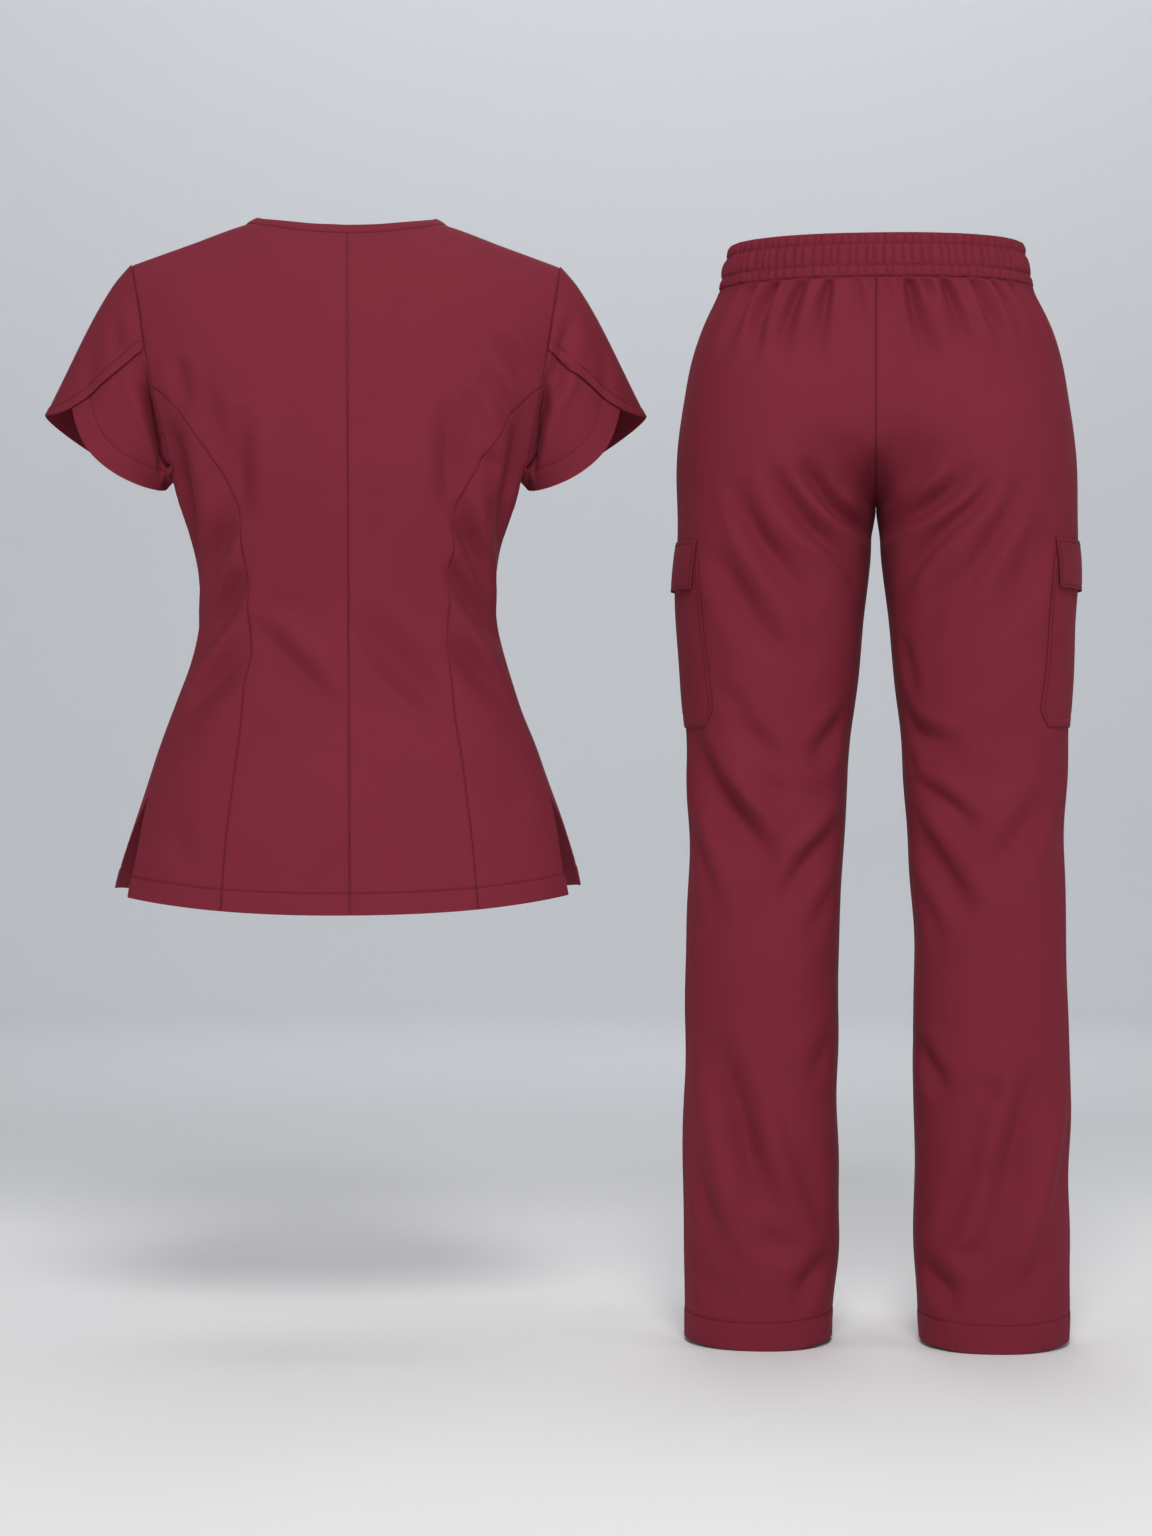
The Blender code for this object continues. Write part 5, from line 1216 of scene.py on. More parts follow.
TROUSER_CREASES = creases("back", (
    (5, 2.3, 0, (-130, 982), (-140, 960), (-152, 936)),
    (9, 5.9, 0.2, (-113, 982), (-129, 940), (-138, 908)),
    (8, 8.3, 0.2, (-92, 982), (-106, 947), (-112, 902)),
    (8, 9, -0.2, (-68, 982), (-81, 946), (-88, 900)),
    (8, 9, 0.2, (-42, 982), (-48, 946), (-56, 900)),
    (6, 5.1, 0, (-16, 982), (-17, 962), (-18, 936)),
    (8, 9, -0.2, (28, 982), (34, 951), (44, 918), (56, 888)),
    (5, 3.9, 0, (45, 982), (52, 958)),
    (8, 9, 0.2, (63, 982), (74, 946), (88, 902)),
    (8, 9, -0.2, (88, 982), (104, 947), (120, 908)),
    (7, 5.9, 0, (106, 982), (122, 954), (140, 912)),
    (7, 5.9, 0, (124, 982), (147, 948), (166, 908)),
    (5, 2.8, 0, (137, 982), (160, 944)),
), held=True) + creases("back", (
    (24, 7, 0, (-88, 820), (-36, 797), (14, 786)),
    (9, 12, -0.2, (-68, 812), (-50, 792), (-31, 769), (-14, 758), (6, 744)),
    (10, 11, -0.2, (-102, 814), (-84, 788), (-58, 755), (-38, 738), (-14, 700)),
    (11, 9, -0.2, (-132, 798), (-116, 758), (-88, 721), (-52, 680)),
    (15, 7.5, 0, (-152, 742), (-130, 701), (-88, 632)),
    (7, -5, 0, (-52, 814), (-33, 786), (-18, 772), (0, 754)),
    (7, -5, 0, (-86, 816), (-70, 789), (-42, 752), (-20, 724)),
    (9, -4.5, 0, (-112, 792), (-96, 758), (-74, 726)),
    (12, -4.5, 0, (-140, 750), (-104, 698), (-64, 640)),
    (10, 3.1, 0, (-150, 612), (-134, 598), (-116, 580)),
    (24, 7, 0, (88, 822), (36, 798), (-14, 786)),
    (9, 12, 0.2, (92, 812), (77, 792), (45, 772), (20, 762), (-4, 744)),
    (10, 10, 0.2, (112, 812), (94, 781), (63, 753), (44, 734), (18, 698)),
    (11, 8.5, 0.2, (138, 800), (118, 761), (80, 708), (48, 668)),
    (9, 3, 0, (66, 716), (42, 660)),
    (15, 7.5, 0, (152, 756), (134, 706), (114, 652)),
    (7, -5, 0, (66, 814), (47, 790), (30, 773), (4, 756)),
    (7, -4.5, 0, (98, 814), (81, 784), (47, 750), (26, 724)),
    (9, -4.5, 0, (122, 786), (88, 738), (60, 690)),
    (9, 3.1, 0, (24, 660), (30, 630), (36, 594)),
    (16, 13, 0.2, (-172, 572), (-148, 515), (-120, 479), (-90, 440)),
    (11, 6.2, 0, (-134, 584), (-112, 562), (-88, 534)),
    (12, 7.8, 0, (-24, 588), (-40, 562), (-62, 536)),
    (9, 2, 0, (-120, 522), (-80, 512), (-38, 510)),
    (14, 8.1, -0.2, (-28, 486), (-56, 455), (-88, 402)),
    (11, 4.2, 0, (-32, 438), (-46, 410), (-64, 376)),
    (11, 4.2, 0, (-164, 484), (-152, 440), (-136, 390)),
    (10, -4.8, 0, (-160, 512), (-150, 452), (-132, 390)),
    (11, -6.2, 0, (-142, 550), (-112, 504), (-76, 454)),
    (10, -4.3, 0, (-34, 508), (-58, 478), (-86, 438)),
    (13, 7.5, 0.2, (22, 604), (36, 570), (84, 550)),
    (9, 3.9, 0, (26, 556), (38, 526)),
    (12, 8.8, 0.2, (36, 520), (63, 501), (96, 474)),
    (16, 13, 0.2, (30, 494), (54, 455), (94, 396)),
    (11, 4.6, 0, (32, 438), (48, 404), (62, 366)),
    (10, 2, 0, (64, 536), (98, 528), (136, 518)),
    (14, 7.8, 0, (162, 514), (127, 465), (100, 430)),
    (11, -5.3, 0, (36, 478), (66, 446), (100, 404)),
    (17, 12.2, 0.2, (-154, 292), (-129, 232), (-111, 177), (-88, 120)),
    (12, -6.2, 0, (-166, 276), (-148, 203), (-120, 95), (-90, 52)),
    (11, -4.8, 0, (-108, 228), (-96, 180), (-78, 134)),
    (12, 4.6, 0, (-72, 190), (-58, 146), (-42, 102)),
    (9, 4.2, 0, (-110, 106), (-82, 96), (-52, 82)),
    (12, 9.4, 0.2, (-38, 82), (-56, 64), (-76, 42)),
    (11, 4.2, 0, (-170, 76), (-148, 58), (-122, 38)),
    (11, 4.2, 0, (-164, 162), (-158, 134), (-150, 106)),
    (12, 4.2, 0, (-36, 296), (-48, 270), (-62, 244)),
    (12, 7.5, 0, (34, 288), (48, 262), (66, 234)),
    (10, 3.9, 0, (98, 250), (118, 228)),
    (17, 11, -0.2, (154, 268), (132, 204), (97, 100)),
    (11, -5.3, 0, (122, 282), (100, 159), (66, 80)),
    (12, -6.2, 0, (172, 224), (132, 103), (98, 54)),
    (13, 6.6, 0, (97, 182), (80, 144), (60, 106)),
    (9, 4.2, 0, (106, 102), (90, 92), (72, 82)),
    (12, 9.4, -0.2, (36, 80), (52, 64), (76, 44)),
    (11, 4.2, 0, (163, 96), (146, 72), (130, 46)),
)) + creases("front", (
    (9, 6.1, 0, (-118, 982), (-130, 946), (-136, 914)),
    (9, 6.1, 0.2, (-88, 982), (-98, 948), (-104, 908)),
    (9, 6.8, 0, (-60, 982), (-66, 944), (-70, 904)),
    (8, 5.4, 0, (-32, 982), (-34, 950), (-38, 914)),
    (6, 2.7, 0, (-8, 982), (-9, 950)),
    (8, 5.4, 0, (30, 982), (33, 948), (38, 912)),
    (9, 6.8, 0, (58, 982), (64, 946), (70, 902)),
    (9, 6.1, -0.2, (90, 982), (99, 950), (106, 910)),
    (9, 6.1, 0, (116, 982), (129, 950), (138, 912)),
), held=True) + creases("front", (
    (15, 9.1, -0.2, (-112, 800), (-72, 772), (-22, 752)),
    (15, 7.8, 0, (-140, 764), (-96, 730), (-44, 700)),
    (12, -3.4, 0, (-116, 778), (-80, 752), (-36, 726)),
    (15, 9.1, 0.2, (108, 796), (70, 768), (20, 750)),
    (15, 7.8, 0, (142, 770), (98, 728), (46, 704)),
    (12, -3.4, 0, (120, 780), (84, 750), (34, 728)),
    (16, 7.8, 0, (-160, 520), (-112, 490), (-62, 480)),
    (17, 8.5, 0.2, (-148, 466), (-104, 436), (-52, 430)),
    (13, 3.7, 0, (-132, 410), (-96, 386), (-60, 378)),
    (16, 7.8, 0, (158, 528), (110, 500), (56, 492)),
    (17, 8.5, -0.2, (150, 470), (108, 446), (48, 436)),
    (13, 3.7, 0, (140, 416), (104, 396), (66, 390)),
    (17, 7.8, 0, (-148, 240), (-118, 170), (-92, 112)),
    (12, 4, 0, (-66, 300), (-84, 240), (-90, 190)),
    (17, 7.8, 0, (146, 232), (116, 168), (90, 104)),
    (12, 4, 0, (62, 310), (84, 254), (92, 196)),
    (14, 7.2, 0, (-50, 78), (-76, 58), (-104, 40)),
    (14, 7.2, 0, (52, 76), (78, 56), (108, 42)),
))

TROUSER_WAVES = table(
    "length height across down",
    (121, 0.55, 0.88, 0.47),
    (87, 0.40, -0.52, 0.85),
    (160, 0.60, 0.30, 0.95),
    (52, 0.16, 0.80, -0.60),
)

# Small gathers that the waistband's seam takes up, gone a finger's width below it. Slow waves along the seam
# shift them and make their depths uneven.
GATHER_LENGTH, GATHER_DEPTH, GATHER_FADE, GATHER_START = 12.5, 3.3, 21, 2.5
GATHER_SHIFTS = table("size length", (0.45, 31), (0.3, 13.7))
GATHER_UNEVEN, UNEVEN_LENGTHS = 0.35, (23, 9.1)


def leg_outline(height):
    """One trouser half at a height: a dense line from its back seam round the outside to its front seam."""
    columns = LEG_LEVELS[0]._fields[1:]
    outer, inner, peak, back, front = (smooth(LEG_LEVELS, column, height) for column in columns)
    inner = max(inner, 0.0) if height < CROTCH else 0.0
    rise = np.clip((height - CROTCH) / SEAT_RISE, 0, 1)
    seam_share = math.sqrt(1 - (1 - rise) ** 2)
    dive = np.clip((CROTCH + SEAT_BLEND - height) / SEAT_BLEND, 0, 1)
    turn = np.linspace(0, math.pi / 2, OUTLINE_STEPS)
    power = 2 / LEG_SQUARENESS
    towards = 1 - np.sin(turn) ** power
    round_end = np.maximum(1 - towards**LEG_SQUARENESS, 0) ** (1 / LEG_SQUARENESS)
    ends = dive * round_end + (1 - dive) * (1 - ramp(towards))
    inside = np.column_stack([peak - (peak - inner) * towards, seam_share + (1 - seam_share) * ends])
    outside = np.column_stack([peak + (outer - peak) * np.sin(turn) ** power, np.cos(turn) ** power])
    half = np.concatenate([inside[:-1], outside])
    behind, before = half * (1, -back), half[::-1] * (1, front)
    return np.concatenate([behind, before[1:]])


def seat_steps(length, steady, count):
    """Distances from a pocket's edge to the middle seam, where all that isn't steady is taken up."""
    share = np.linspace(0, 1, count + 1)
    return steady * share + (length - steady) * share**EDGE_HUG


def plain_half():
    """The +X half without folds: a row for each level, with columns split at the pocket and the outseam."""
    lines = [leg_outline(height) for height in LEG_ROWS]
    along = [distances(line) for line in lines]
    widest = np.array([run[len(run) // 2] for run in along])
    behind = widest - POCKET_BACK
    before = np.array([run[-1] for run in along]) - widest - POCKET_FRONT
    steady_behind, steady_before, rows = eased(behind), eased(before), []
    for i, height in enumerate(LEG_ROWS):
        seat = behind[i] - seat_steps(behind[i], steady_behind[i], SEAT_COLUMNS)[::-1]
        marks = (behind[i], widest[i] - OUTSEAM_BACK, widest[i] + POCKET_FRONT)
        pocket = steps(marks, (POCKET_BACK_COLUMNS, POCKET_FRONT_COLUMNS))
        lap = pocket[-1] + seat_steps(before[i], steady_before[i], LAP_COLUMNS)
        wanted = np.concatenate([seat, pocket[1:], lap[1:]])
        flat = np.column_stack([np.interp(wanted, along[i], values) for values in lines[i].T])
        rows.append(np.column_stack([flat, np.full(len(flat), float(height))]))
    return np.stack(rows)


def on_leg(path, face):
    """(across, height) points laid on the trousers' back or front."""
    laid = []
    for across, height in path:
        line = leg_outline(height)
        middle = len(line) // 2
        half = line[middle:][::-1] if face == "front" else line[: middle + 1]
        laid.append((across, np.interp(abs(across), half[:, 0], half[:, 1]), height))
    return np.array(laid)


def relaxed(grid):
    """The half with the turn from the seat in under the crotch made rounder."""
    grid = grid.copy()
    inner = grid[1:-1, 1:-1]
    apart = (inner[..., :1] / CROTCH_ACROSS) ** 2 + ((inner[..., 2:] - CROTCH_HEART) / CROTCH_DOWN) ** 2
    near = CROTCH_SHARE * np.exp(-apart)
    for _ in range(CROTCH_ROUNDS):
        around = (grid[2:, 1:-1] + grid[:-2, 1:-1] + grid[1:-1, 2:] + grid[1:-1, :-2]) / 4
        inner += near * (around - inner)
    return grid


def gathered(points, normals):
    """The small gathers under the waistband."""
    below = TROUSER_TOP - points[..., 2]
    along = np.cumsum(np.linalg.norm(np.diff(points, axis=1, prepend=points[:, :1]), axis=2), axis=1)[:1]
    phase = along / GATHER_LENGTH + sum(shift.size * np.sin(along / shift.length) for shift in GATHER_SHIFTS)
    uneven = np.sin(along / UNEVEN_LENGTHS[0] + 1) * np.sin(along / UNEVEN_LENGTHS[1])
    uneven = 1 - GATHER_UNEVEN + GATHER_UNEVEN * uneven
    depth = GATHER_DEPTH * uneven * (0.5 + 0.5 * np.cos(2 * math.pi * phase))
    fade = np.exp(-((below / GATHER_FADE) ** 2)) * np.clip(below / GATHER_START, 0, 1)
    return points - normals * (depth * fade)[..., None]


twill(TROUSERS.twill, (0.205, 0.0230, 0.0400), (0.184, 0.0195, 0.0352), (0.226, 0.0265, 0.0448))

right_half = plain_half()
hem_rise = HEM_RISE_SIDE * ((right_half[-1, :, 0] - LEG_LEVELS[-1].peak) / HEM_RISE_REACH) ** 2
hem_share = np.clip(1 - LEG_ROWS / HEM_BLEND, 0, 1)[:, None] ** 2
right_half[..., 2] += np.clip(hem_rise, 0, HEM_RISE_SIDE) * hem_share
right_half = relaxed(right_half)
trouser_halves = {"right": right_half, "left": mirrored(right_half)}
half_normals = shared_normals(trouser_halves)
for side, half in trouser_halves.items():
    outward = half_normals[side]
    below_waist = np.clip((TROUSER_TOP - half[..., 2]) / WAIST_FADE, 0, 1)
    facing = np.clip(FACE_CREASES * np.abs(outward[..., 1]), SIDE_CREASES, 1)
    moved = creased(half, outward, TROUSER_CREASES, on_leg, below_waist * facing, CROTCH - 1)
    trouser_halves[side] = gathered(waved(moved, outward, TROUSER_WAVES, below_waist), outward)
half_normals = shared_normals(trouser_halves)

OUTSEAM_COLUMN = SEAT_COLUMNS + POCKET_BACK_COLUMNS
trouser_hem_rows = len(LEG_ROWS) - 1 - np.arange(4.8, 8.2, HEM_ROW_STEP)
trouser_hem_lines = []
for side, half in trouser_halves.items():
    outward = half_normals[side]
    for kind, columns in (("back", slice(0, OUTSEAM_COLUMN + 1)), ("front", slice(OUTSEAM_COLUMN, None))):
        if side == "left":
            width = half.shape[1]
            columns = slice(width - (columns.stop or width), width - columns.start)
        grid, ups = finer(half[:, columns], outward[:, columns], trouser_hem_rows)
        edges = gaps(grid)
        seam, stitch = nearest_edge(edges, "left", "right", "top"), edges["bottom"] - TROUSER_HEM
        trouser_hem_lines.append((grid, ups, stitch))
        cloth = hemmed(seam, stitch)
        cloth_piece(f"{side}_trouser_{kind}_panel", f"trouser_{kind}_{side}", TROUSERS, grid, ups, cloth)


# The waistband -----------------------------------------------------------------------------------------
# A wide strip of the twill folded over an elastic and sewn through with two rows of stitches, so that the
# elastic gathers it into small uneven pleats. It is sewn on to the tops of the panels.

WAISTBAND = table(
    "height outer back front",
    (1022.5, 137.0, 95.0, 92.0),
    (1012.0, 139.5, 96.0, 93.0),
    (992.5, 144.0, 97.5, 94.5),
    (982.0, 146.5, 98.0, 95.0),
)
WAIST_GATHERS = 92
GATHER_COLUMNS = 9
OUTLINE_POINTS = 1441
BAND_ROWS = (5, 1, 2, 3, 2, 1, 7, 1, 3, 2, 1, 4)
BAND_MARKS = (1022.5, 1020.9, 1020.4, 1018, 1013.6, 1012.8, 1011.2, 993.8, 992.9, 991.2, 989, 984.5, 982.15)
BAND_STITCHES = (1012.0, 992.5)
BAND_THICK = 1.2
BAND_FULLNESS = 1.25

# The three channels between the band's edges and its stitches: how high their pleats stand, and how far
# the cloth puffs out over the elastic. A pleat is lower and nearly flat at the stitches.
CHANNELS = table("pleat puff", (3.2, 0.3), (3.9, 0.5), (3.2, 0.1))
PLEAT_SEED, PLEAT_SHIFT, PLEAT_LEAST = 11, 0.28, 0.45
# How round the pleats are, and how wide the painted shade in their valleys spreads.
PLEAT_ROUNDNESS, VALLEY_SHADE_WIDTH = 0.62, 4.5
PLEAT_AT_STITCHES, RISE_ROUNDNESS, PUFF_ROUNDNESS = 0.42, 0.7, 0.8
PLEATS_SUNK = 1.7
BAND_STITCH_SINK, BAND_STITCH_WIDTH = 0.5, 1.0


def band_ring(height, count):
    """An even ring of points round the waistband at a height, from the centre back."""
    turn = np.linspace(0, 2 * math.pi, OUTLINE_POINTS)
    power = 2 / TOP_SQUARENESS
    sine, cosine = np.sin(turn), np.cos(turn)
    outer, back, front = (smooth(WAISTBAND, name, height) for name in ("outer", "back", "front"))
    line = np.column_stack([
        outer * np.sign(sine) * np.abs(sine) ** power,
        np.where(cosine > 0, -back, front) * np.abs(cosine) ** power,
    ])
    along = distances(line)
    wanted = np.linspace(0, along[-1], count + 1)[:-1]
    ring = [np.interp(wanted, along, values) for values in line.T]
    return np.column_stack([*ring, np.full(count, height)])


band_heights = steps(BAND_MARKS, BAND_ROWS)
band_columns = WAIST_GATHERS * GATHER_COLUMNS
band_grid = np.stack([band_ring(height, band_columns) for height in band_heights])
band_outward = shared_normals({"band": band_grid}, closed=("band",))["band"]
uneven = np.random.default_rng(PLEAT_SEED)
channel_edges = (WAISTBAND[0].height, *BAND_STITCHES, WAISTBAND[-1].height)
band_relief = np.zeros(band_grid.shape[:2])
around = np.arange(band_columns) / GATHER_COLUMNS
knots = np.arange(WAIST_GATHERS + 1)
# The pleats' valleys as a field that makes the material paint shade in them, as it does beside seams.
valley_shade_gap = np.full(band_grid.shape[:2], FAR)
for channel, upper, lower in zip(CHANNELS, channel_edges, channel_edges[1:]):
    shift = uneven.uniform(-PLEAT_SHIFT, PLEAT_SHIFT, WAIST_GATHERS)
    size = uneven.uniform(PLEAT_LEAST, 1.0, WAIST_GATHERS)
    moved = around + np.interp(around, knots, np.append(shift, shift[0]))
    pleat = np.abs(np.sin(math.pi * moved)) ** PLEAT_ROUNDNESS
    pleat *= np.interp(around + 0.5, knots, np.append(size, size[0]))
    share = np.clip((upper - band_heights) / (upper - lower), 0, 1)
    inside = np.sin(math.pi * share)[:, None]
    full = PLEAT_AT_STITCHES + (1 - PLEAT_AT_STITCHES) * inside**RISE_ROUNDNESS
    rise = full * channel.pleat * pleat + channel.puff * inside**PUFF_ROUNDNESS - PLEATS_SUNK
    belongs = ((band_heights <= upper) & (band_heights > lower))[:, None]
    band_relief += np.where(belongs, rise, 0)
    valley_shade_gap = np.where(belongs, VALLEY_SHADE_WIDTH * pleat, valley_shade_gap)
band_stitch = np.minimum.reduce([np.abs(band_heights - height) for height in BAND_STITCHES])
band_relief += sunk(band_stitch, BAND_STITCH_SINK, BAND_STITCH_WIDTH)[:, None]
band_seam = (band_heights - WAISTBAND[-1].height)[:, None] + np.zeros(band_columns)
band_relief += sunk(band_seam, SEAM_SINK, SEAM_WIDTH)
# The band's seam field also holds its pleats' valleys, so the material paints shade in them.
cloth_piece(
    "elastic_waistband",
    "waistband",
    TROUSERS,
    band_grid,
    band_outward,
    Cloth(np.minimum(band_seam, valley_shade_gap), band_stitch[:, None], band_relief),
    full=BAND_FULLNESS,
    thick=BAND_THICK,
    closed=True,
)


# The cargo pockets and their flaps ---------------------------------------------------------------------
# A flat patch pocket over each outseam, with its lower corners cut off, and a flap sewn on above it that
# covers its mouth and stands a little away. Both have a row of stitches inside their edges.

CORNER_CUT, FLAP_CUT = 11.0, 8.5
POCKET_THICK, FLAP_THICK = 1.0, 1.3
POCKET_STITCH, POCKET_HEM_STITCH = 4.0, 11.0

# A pocket puffs out inside its edges, less at its mouth, and its sewn edges are pressed down.
POCKET_PUFF, PUFF_WITHIN, MOUTH_PUFF, MOUTH_REACH = 0.8, 26, 0.25, 60
EDGE_PRESS, PRESS_WIDTH = 0.25, 0.8

# A flap lifts down to its lower edge, and less at its two sides.
FLAP_LIFT, FLAP_CURL, SIDE_HOLD, SIDE_REACH = 4.3, 0.8, 0.28, 14
FLAP_ROW_COLUMN = 20


def pocket_lattice(side, top, bottom, corner, cut):
    """Rows and columns of a half over its outseam, drawn in below a corner's height."""
    first = SEAT_COLUMNS
    last = first + POCKET_BACK_COLUMNS + POCKET_FRONT_COLUMNS
    if side == "left":
        first, last = (len(trouser_halves[side][0]) - 1 - column for column in (last, first))
    start, end = (int(np.argmin(np.abs(LEG_ROWS - height))) for height in (top, bottom))
    rows = start + lattice(end - start)
    columns = first + lattice(last - first)
    heights = np.interp(rows, np.arange(len(LEG_ROWS)), LEG_ROWS)
    share = np.clip((corner - heights) / (corner - bottom), 0, 1)[:, None]
    middle = (first + last) / 2
    narrowed = 1 - share * cut / ((POCKET_BACK + POCKET_FRONT) / 2)
    return rows[:, None] + 0 * narrowed * columns, middle + (columns - middle) * narrowed


def row_at(edges, edge, column, apart):
    """The row of a column that lies nearest to a distance from an edge."""
    return int(np.argmin(np.abs(edges[edge][:, column] - apart)))


def inside_line(grid, normals, apart):
    """A line a way in from a piece's left, bottom and right edges."""
    edges = gaps(grid)
    bottom = row_at(edges, "bottom", grid.shape[1] // 2, apart)
    left, right = (int(np.argmin(np.abs(edges[edge][0] - apart))) for edge in ("left", "right"))
    picked = [(row, left) for row in range(1, bottom)]
    picked += [(bottom, column) for column in range(left, right + 1)]
    picked += [(row, right) for row in range(bottom - 1, 0, -1)]
    rows, columns = np.array(picked).T
    return grid[rows, columns], normals[rows, columns]


def over_outseam(side, *shape):
    """A piece's points, normals and distances from its edges, before it is lifted off the panels."""
    grid, normals = surface_at(trouser_halves[side], half_normals[side], *pocket_lattice(side, *shape))
    return grid, normals, gaps(grid)


pocket_lines = []
for side in trouser_halves:
    grid, ups, edges = over_outseam(side, POCKET_TOP, POCKET_BOTTOM, POCKET_CORNER, CORNER_CUT)
    inset = nearest_edge(edges, "left", "right", "bottom")
    swell = np.clip(inset / PUFF_WITHIN, 0, 1)
    swell = POCKET_PUFF * swell * (2 - swell) * np.clip(MOUTH_PUFF + edges["top"] / MOUTH_REACH, 0, 1)
    grid = grid + ups * (SEAM_GAP + CLOTH + swell)[..., None]
    stitch = np.minimum(edges["bottom"] - POCKET_HEM_STITCH, inset - POCKET_STITCH)
    relief = sunk(stitch, STITCH_SINK, STITCH_WIDTH) + sunk(inset, EDGE_PRESS, PRESS_WIDTH)
    # The pocket's edges feed the material's seam field, so it paints a line of shade round them where they
    # lie on the panel.
    cloth = Cloth(inset, stitch, relief)
    cloth_piece(f"{side}_cargo_pocket", f"pocket_{side}", TROUSERS, grid, ups, cloth, thick=POCKET_THICK)
    pocket_lines.append(inside_line(grid, ups, POCKET_STITCH))

    grid, ups, edges = over_outseam(side, FLAP_TOP, FLAP_BOTTOM, FLAP_TOP, FLAP_CUT)
    down = edges["top"] / edges["top"][-1:]
    held_back = SIDE_HOLD * (1 - np.clip(nearest_edge(edges, "left", "right") / SIDE_REACH, 0, 1)) * down
    grid = grid + ups * (SEAM_GAP + CLOTH + FLAP_LIFT * down**FLAP_CURL * (1 - held_back))[..., None]
    inset = nearest_edge(edges, "left", "right", "bottom")
    stitch = np.minimum(inset, edges["top"]) - POCKET_STITCH
    # The flap's edges feed the material's seam field, so it paints a line of shade round them where they
    # stand off the pocket.
    cloth = Cloth(inset, stitch, sunk(stitch, STITCH_SINK, STITCH_WIDTH))
    cloth_piece(f"{side}_cargo_flap", f"pocket_flap_{side}", TROUSERS, grid, ups, cloth, thick=FLAP_THICK)
    pocket_lines.append(inside_line(grid, ups, POCKET_STITCH))
    flap_row = row_at(edges, "top", FLAP_ROW_COLUMN, POCKET_STITCH)
    pocket_lines.append((grid[flap_row], ups[flap_row]))


# The trousers' stitches --------------------------------------------------------------------------------
# The same thread along the hems, through the waistband over its elastic, and round pockets and flaps.

band_surface = band_grid + band_outward * band_relief[..., None]
band_lines = []
for height in BAND_STITCHES:
    row = int(np.argmin(np.abs(band_heights - height)))
    band_lines.append([np.vstack([rings[row], rings[row, :1]]) for rings in (band_surface, band_outward)])
sewn_row("waistband_stitching", TROUSERS, band_lines, sink=0.0)
sewn_row("trouser_hem_stitching", TROUSERS, [level_line(*found) for found in trouser_hem_lines])
sewn_row("pocket_stitching", TROUSERS, pocket_lines)


# The stage ---------------------------------------------------------------------------------------------
# A plain pale studio, alike from all sides: a round floor that rises into a wall in one bend. Its paper has a
# painted pool of light where the set stands, and painted dimming further out over the far floor and the wall.
# A soft light stands high on the side of the set's backs, with weaker ones at both ends, before its fronts,
# above the floor and beside the wall. The camera looks straight ahead.

FLOOR = -1.043
STAGE_MIDDLE = 0.2148
FLOOR_REACH, BEND_RADIUS, WALL_TOP = 4.4, 1.2, 2.6
STAGE_SIDES, BEND_STEPS, BEND_LEAD = 96, 16, 0.2
# Where the paper's painted pool of light ends, where its painted dimming is full, and its colours in both.
PAINTED_LIGHT_WITHIN, PAINTED_DIMMING_BEYOND = 0.9, 2.3
FLOOR_PAINTED_LIT_COLOUR, FAR_PAINTED_DIM_COLOUR = (0.94, 0.945, 0.95), (0.72, 0.735, 0.76)

bend = np.linspace(0, math.pi / 2, BEND_STEPS + 1)
profile = [(FLOOR_REACH - BEND_LEAD, 0.0)]
profile += [(FLOOR_REACH + BEND_RADIUS * math.sin(a), BEND_RADIUS * (1 - math.cos(a))) for a in bend]
profile.append((FLOOR_REACH + BEND_RADIUS, WALL_TOP - FLOOR))
way = np.linspace(0, 2 * math.pi, STAGE_SIDES, endpoint=False)
rings = [np.column_stack([r * np.cos(way), r * np.sin(way), np.full(STAGE_SIDES, z)]) for r, z in profile]
down, across = face_corners(len(rings), STAGE_SIDES)
floor_faces = [list(range(STAGE_SIDES)), *(down * STAGE_SIDES + across % STAGE_SIDES).tolist()]

surface, start = new_material("studio_paper")
spot = start.node("TexCoord", {}, {}, "Object")
apart = start.node("VectorMath", {"operation": "LENGTH"}, {0: spot}, "Value")
# Painted light: the paper is painted lighter near the set and darker further out, as a pool of light and its
# falloff.
painted_falloff = start.node(
    "MapRange",
    {"interpolation_type": "SMOOTHSTEP"},
    {"Value": apart, "From Min": PAINTED_LIGHT_WITHIN, "From Max": PAINTED_DIMMING_BEYOND},
)
finished(surface, {"Base Color": start.mixed(painted_falloff, FLOOR_PAINTED_LIT_COLOUR, FAR_PAINTED_DIM_COLOUR)}, {"Roughness": 0.9})
studio = added_mesh("studio_floor", np.concatenate(rings), floor_faces, "studio_paper")
studio.location = (STAGE_MIDDLE, 0.0, FLOOR)

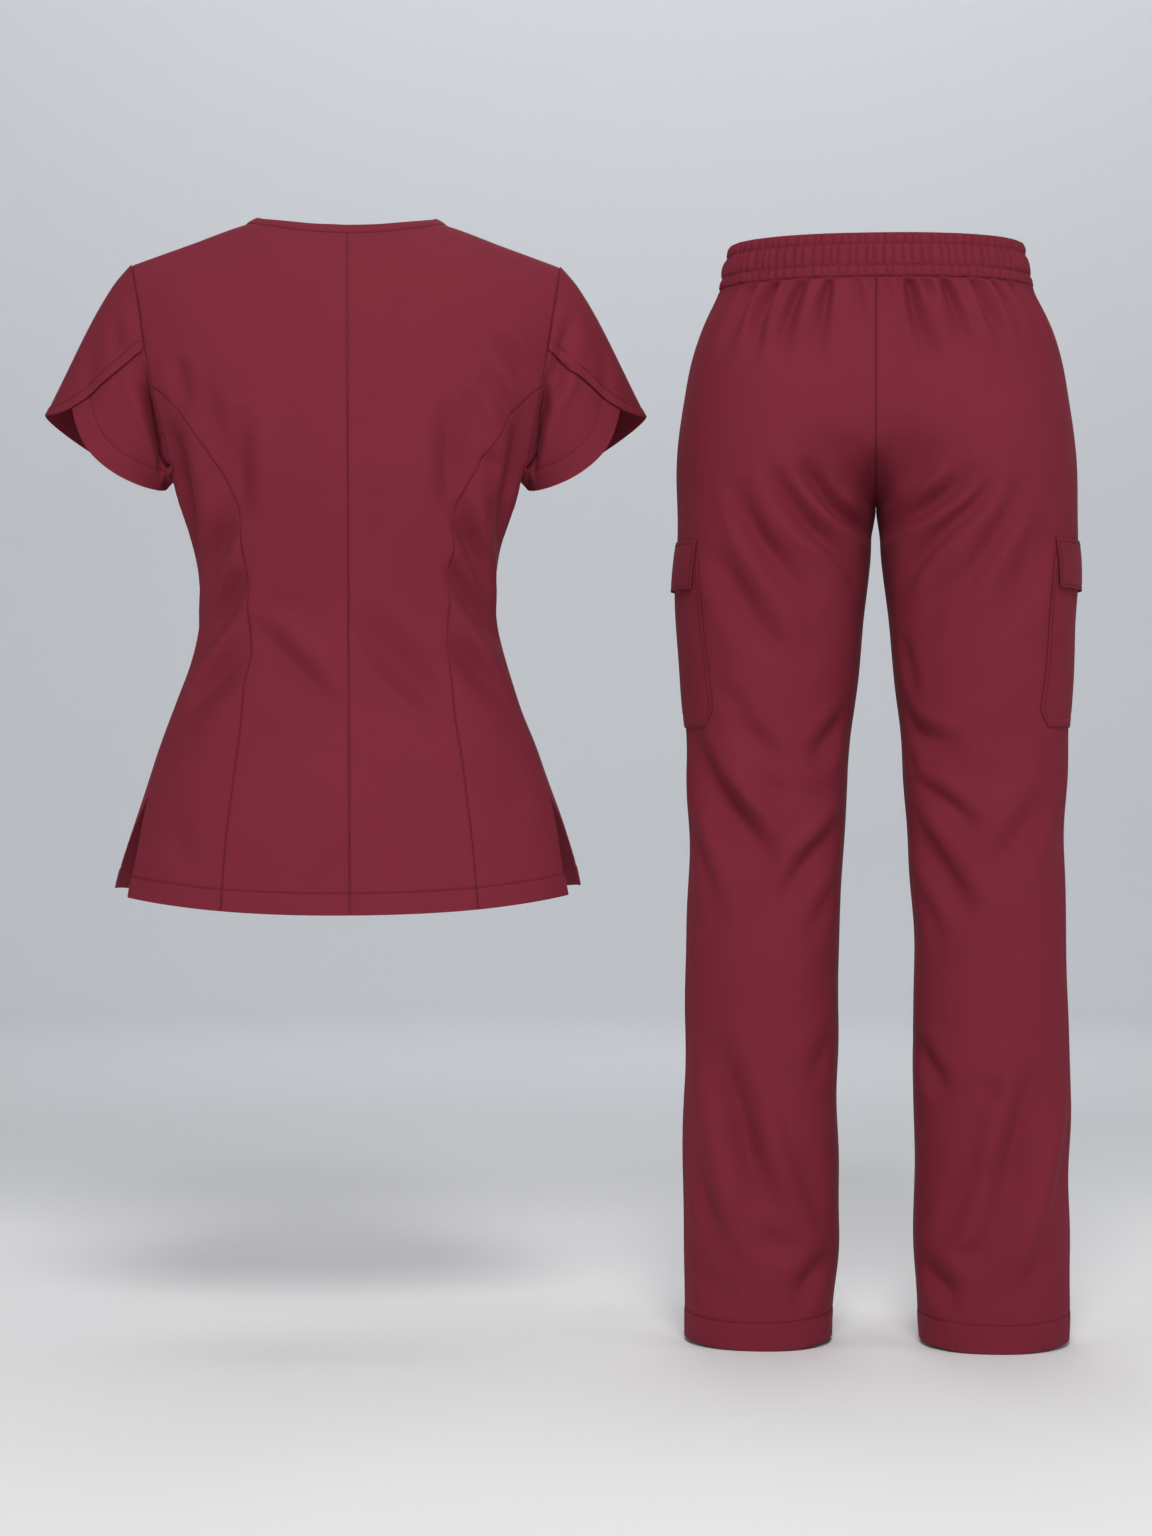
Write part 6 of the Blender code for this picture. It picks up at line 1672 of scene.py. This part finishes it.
LIGHTS = table(
    "name place aim size power colour",
    ("key_light", (0.35, -3.0, 1.8), (0.2, 0.0, -0.5), 1.2, 81, (1.0, 0.99, 0.98)),
    ("left_light", (-2.8, -1.6, 0.4), (0.2, 0.0, -0.5), 2.2, 12, (0.97, 0.98, 1.0)),
    ("right_light", (3.0, -1.2, 0.5), (0.4, 0.0, -0.5), 1.8, 13, (0.98, 0.99, 1.0)),
    ("front_light", (0.5, 3.4, 1.9), (0.2, 0.0, -0.5), 2.4, 24, (0.98, 0.99, 1.0)),
    ("floor_light", (0.3, 0.9, 3.2), (0.3, 1.2, -1.0), 3.2, 41, (0.99, 0.99, 1.0)),
    ("wall_light", (0.4, 3.0, 3.2), (0.4, 5.6, 2.2), 3.0, 70, (0.97, 0.98, 1.0)),
)


def aimed(thing, place, aim):
    """Puts a light in its place, its beam towards its aim."""
    from_to = np.array(aim, float) - place
    flat = math.hypot(from_to[0], from_to[1])
    thing.location = place
    thing.rotation_euler = (math.atan2(flat, -from_to[2]), 0.0, math.atan2(-from_to[0], from_to[1]))


for light in LIGHTS:
    lamp = bpy.data.lights.new(light.name, "AREA")
    lamp.shape, lamp.size, lamp.energy, lamp.color = "DISK", light.size, light.power, light.colour
    holder = added(light.name, lamp)
    holder.visible_camera = False
    aimed(holder, light.place, light.aim)

AMBIENT_COLOUR, AMBIENT_STRENGTH = (0.86, 0.88, 0.92, 1.0), 0.07
world = bpy.data.worlds.new("studio")
world.use_nodes = True
background = world.node_tree.nodes["Background"].inputs
background["Color"].default_value, background["Strength"].default_value = AMBIENT_COLOUR, AMBIENT_STRENGTH
bpy.context.scene.world = world
bpy.context.scene.view_settings.view_transform = "Standard"

CAMERA_PLACE = (0.2148, -3.3, -0.508)
SEEN_HEIGHT = 1.438
SENSOR = 36.0
lens = bpy.data.cameras.new("camera")
lens.sensor_width = SENSOR
lens.lens = SENSOR * -CAMERA_PLACE[1] / SEEN_HEIGHT
camera = added("camera", lens)
camera.location = CAMERA_PLACE
camera.rotation_euler = (math.pi / 2, 0.0, 0.0)
bpy.context.scene.camera = camera
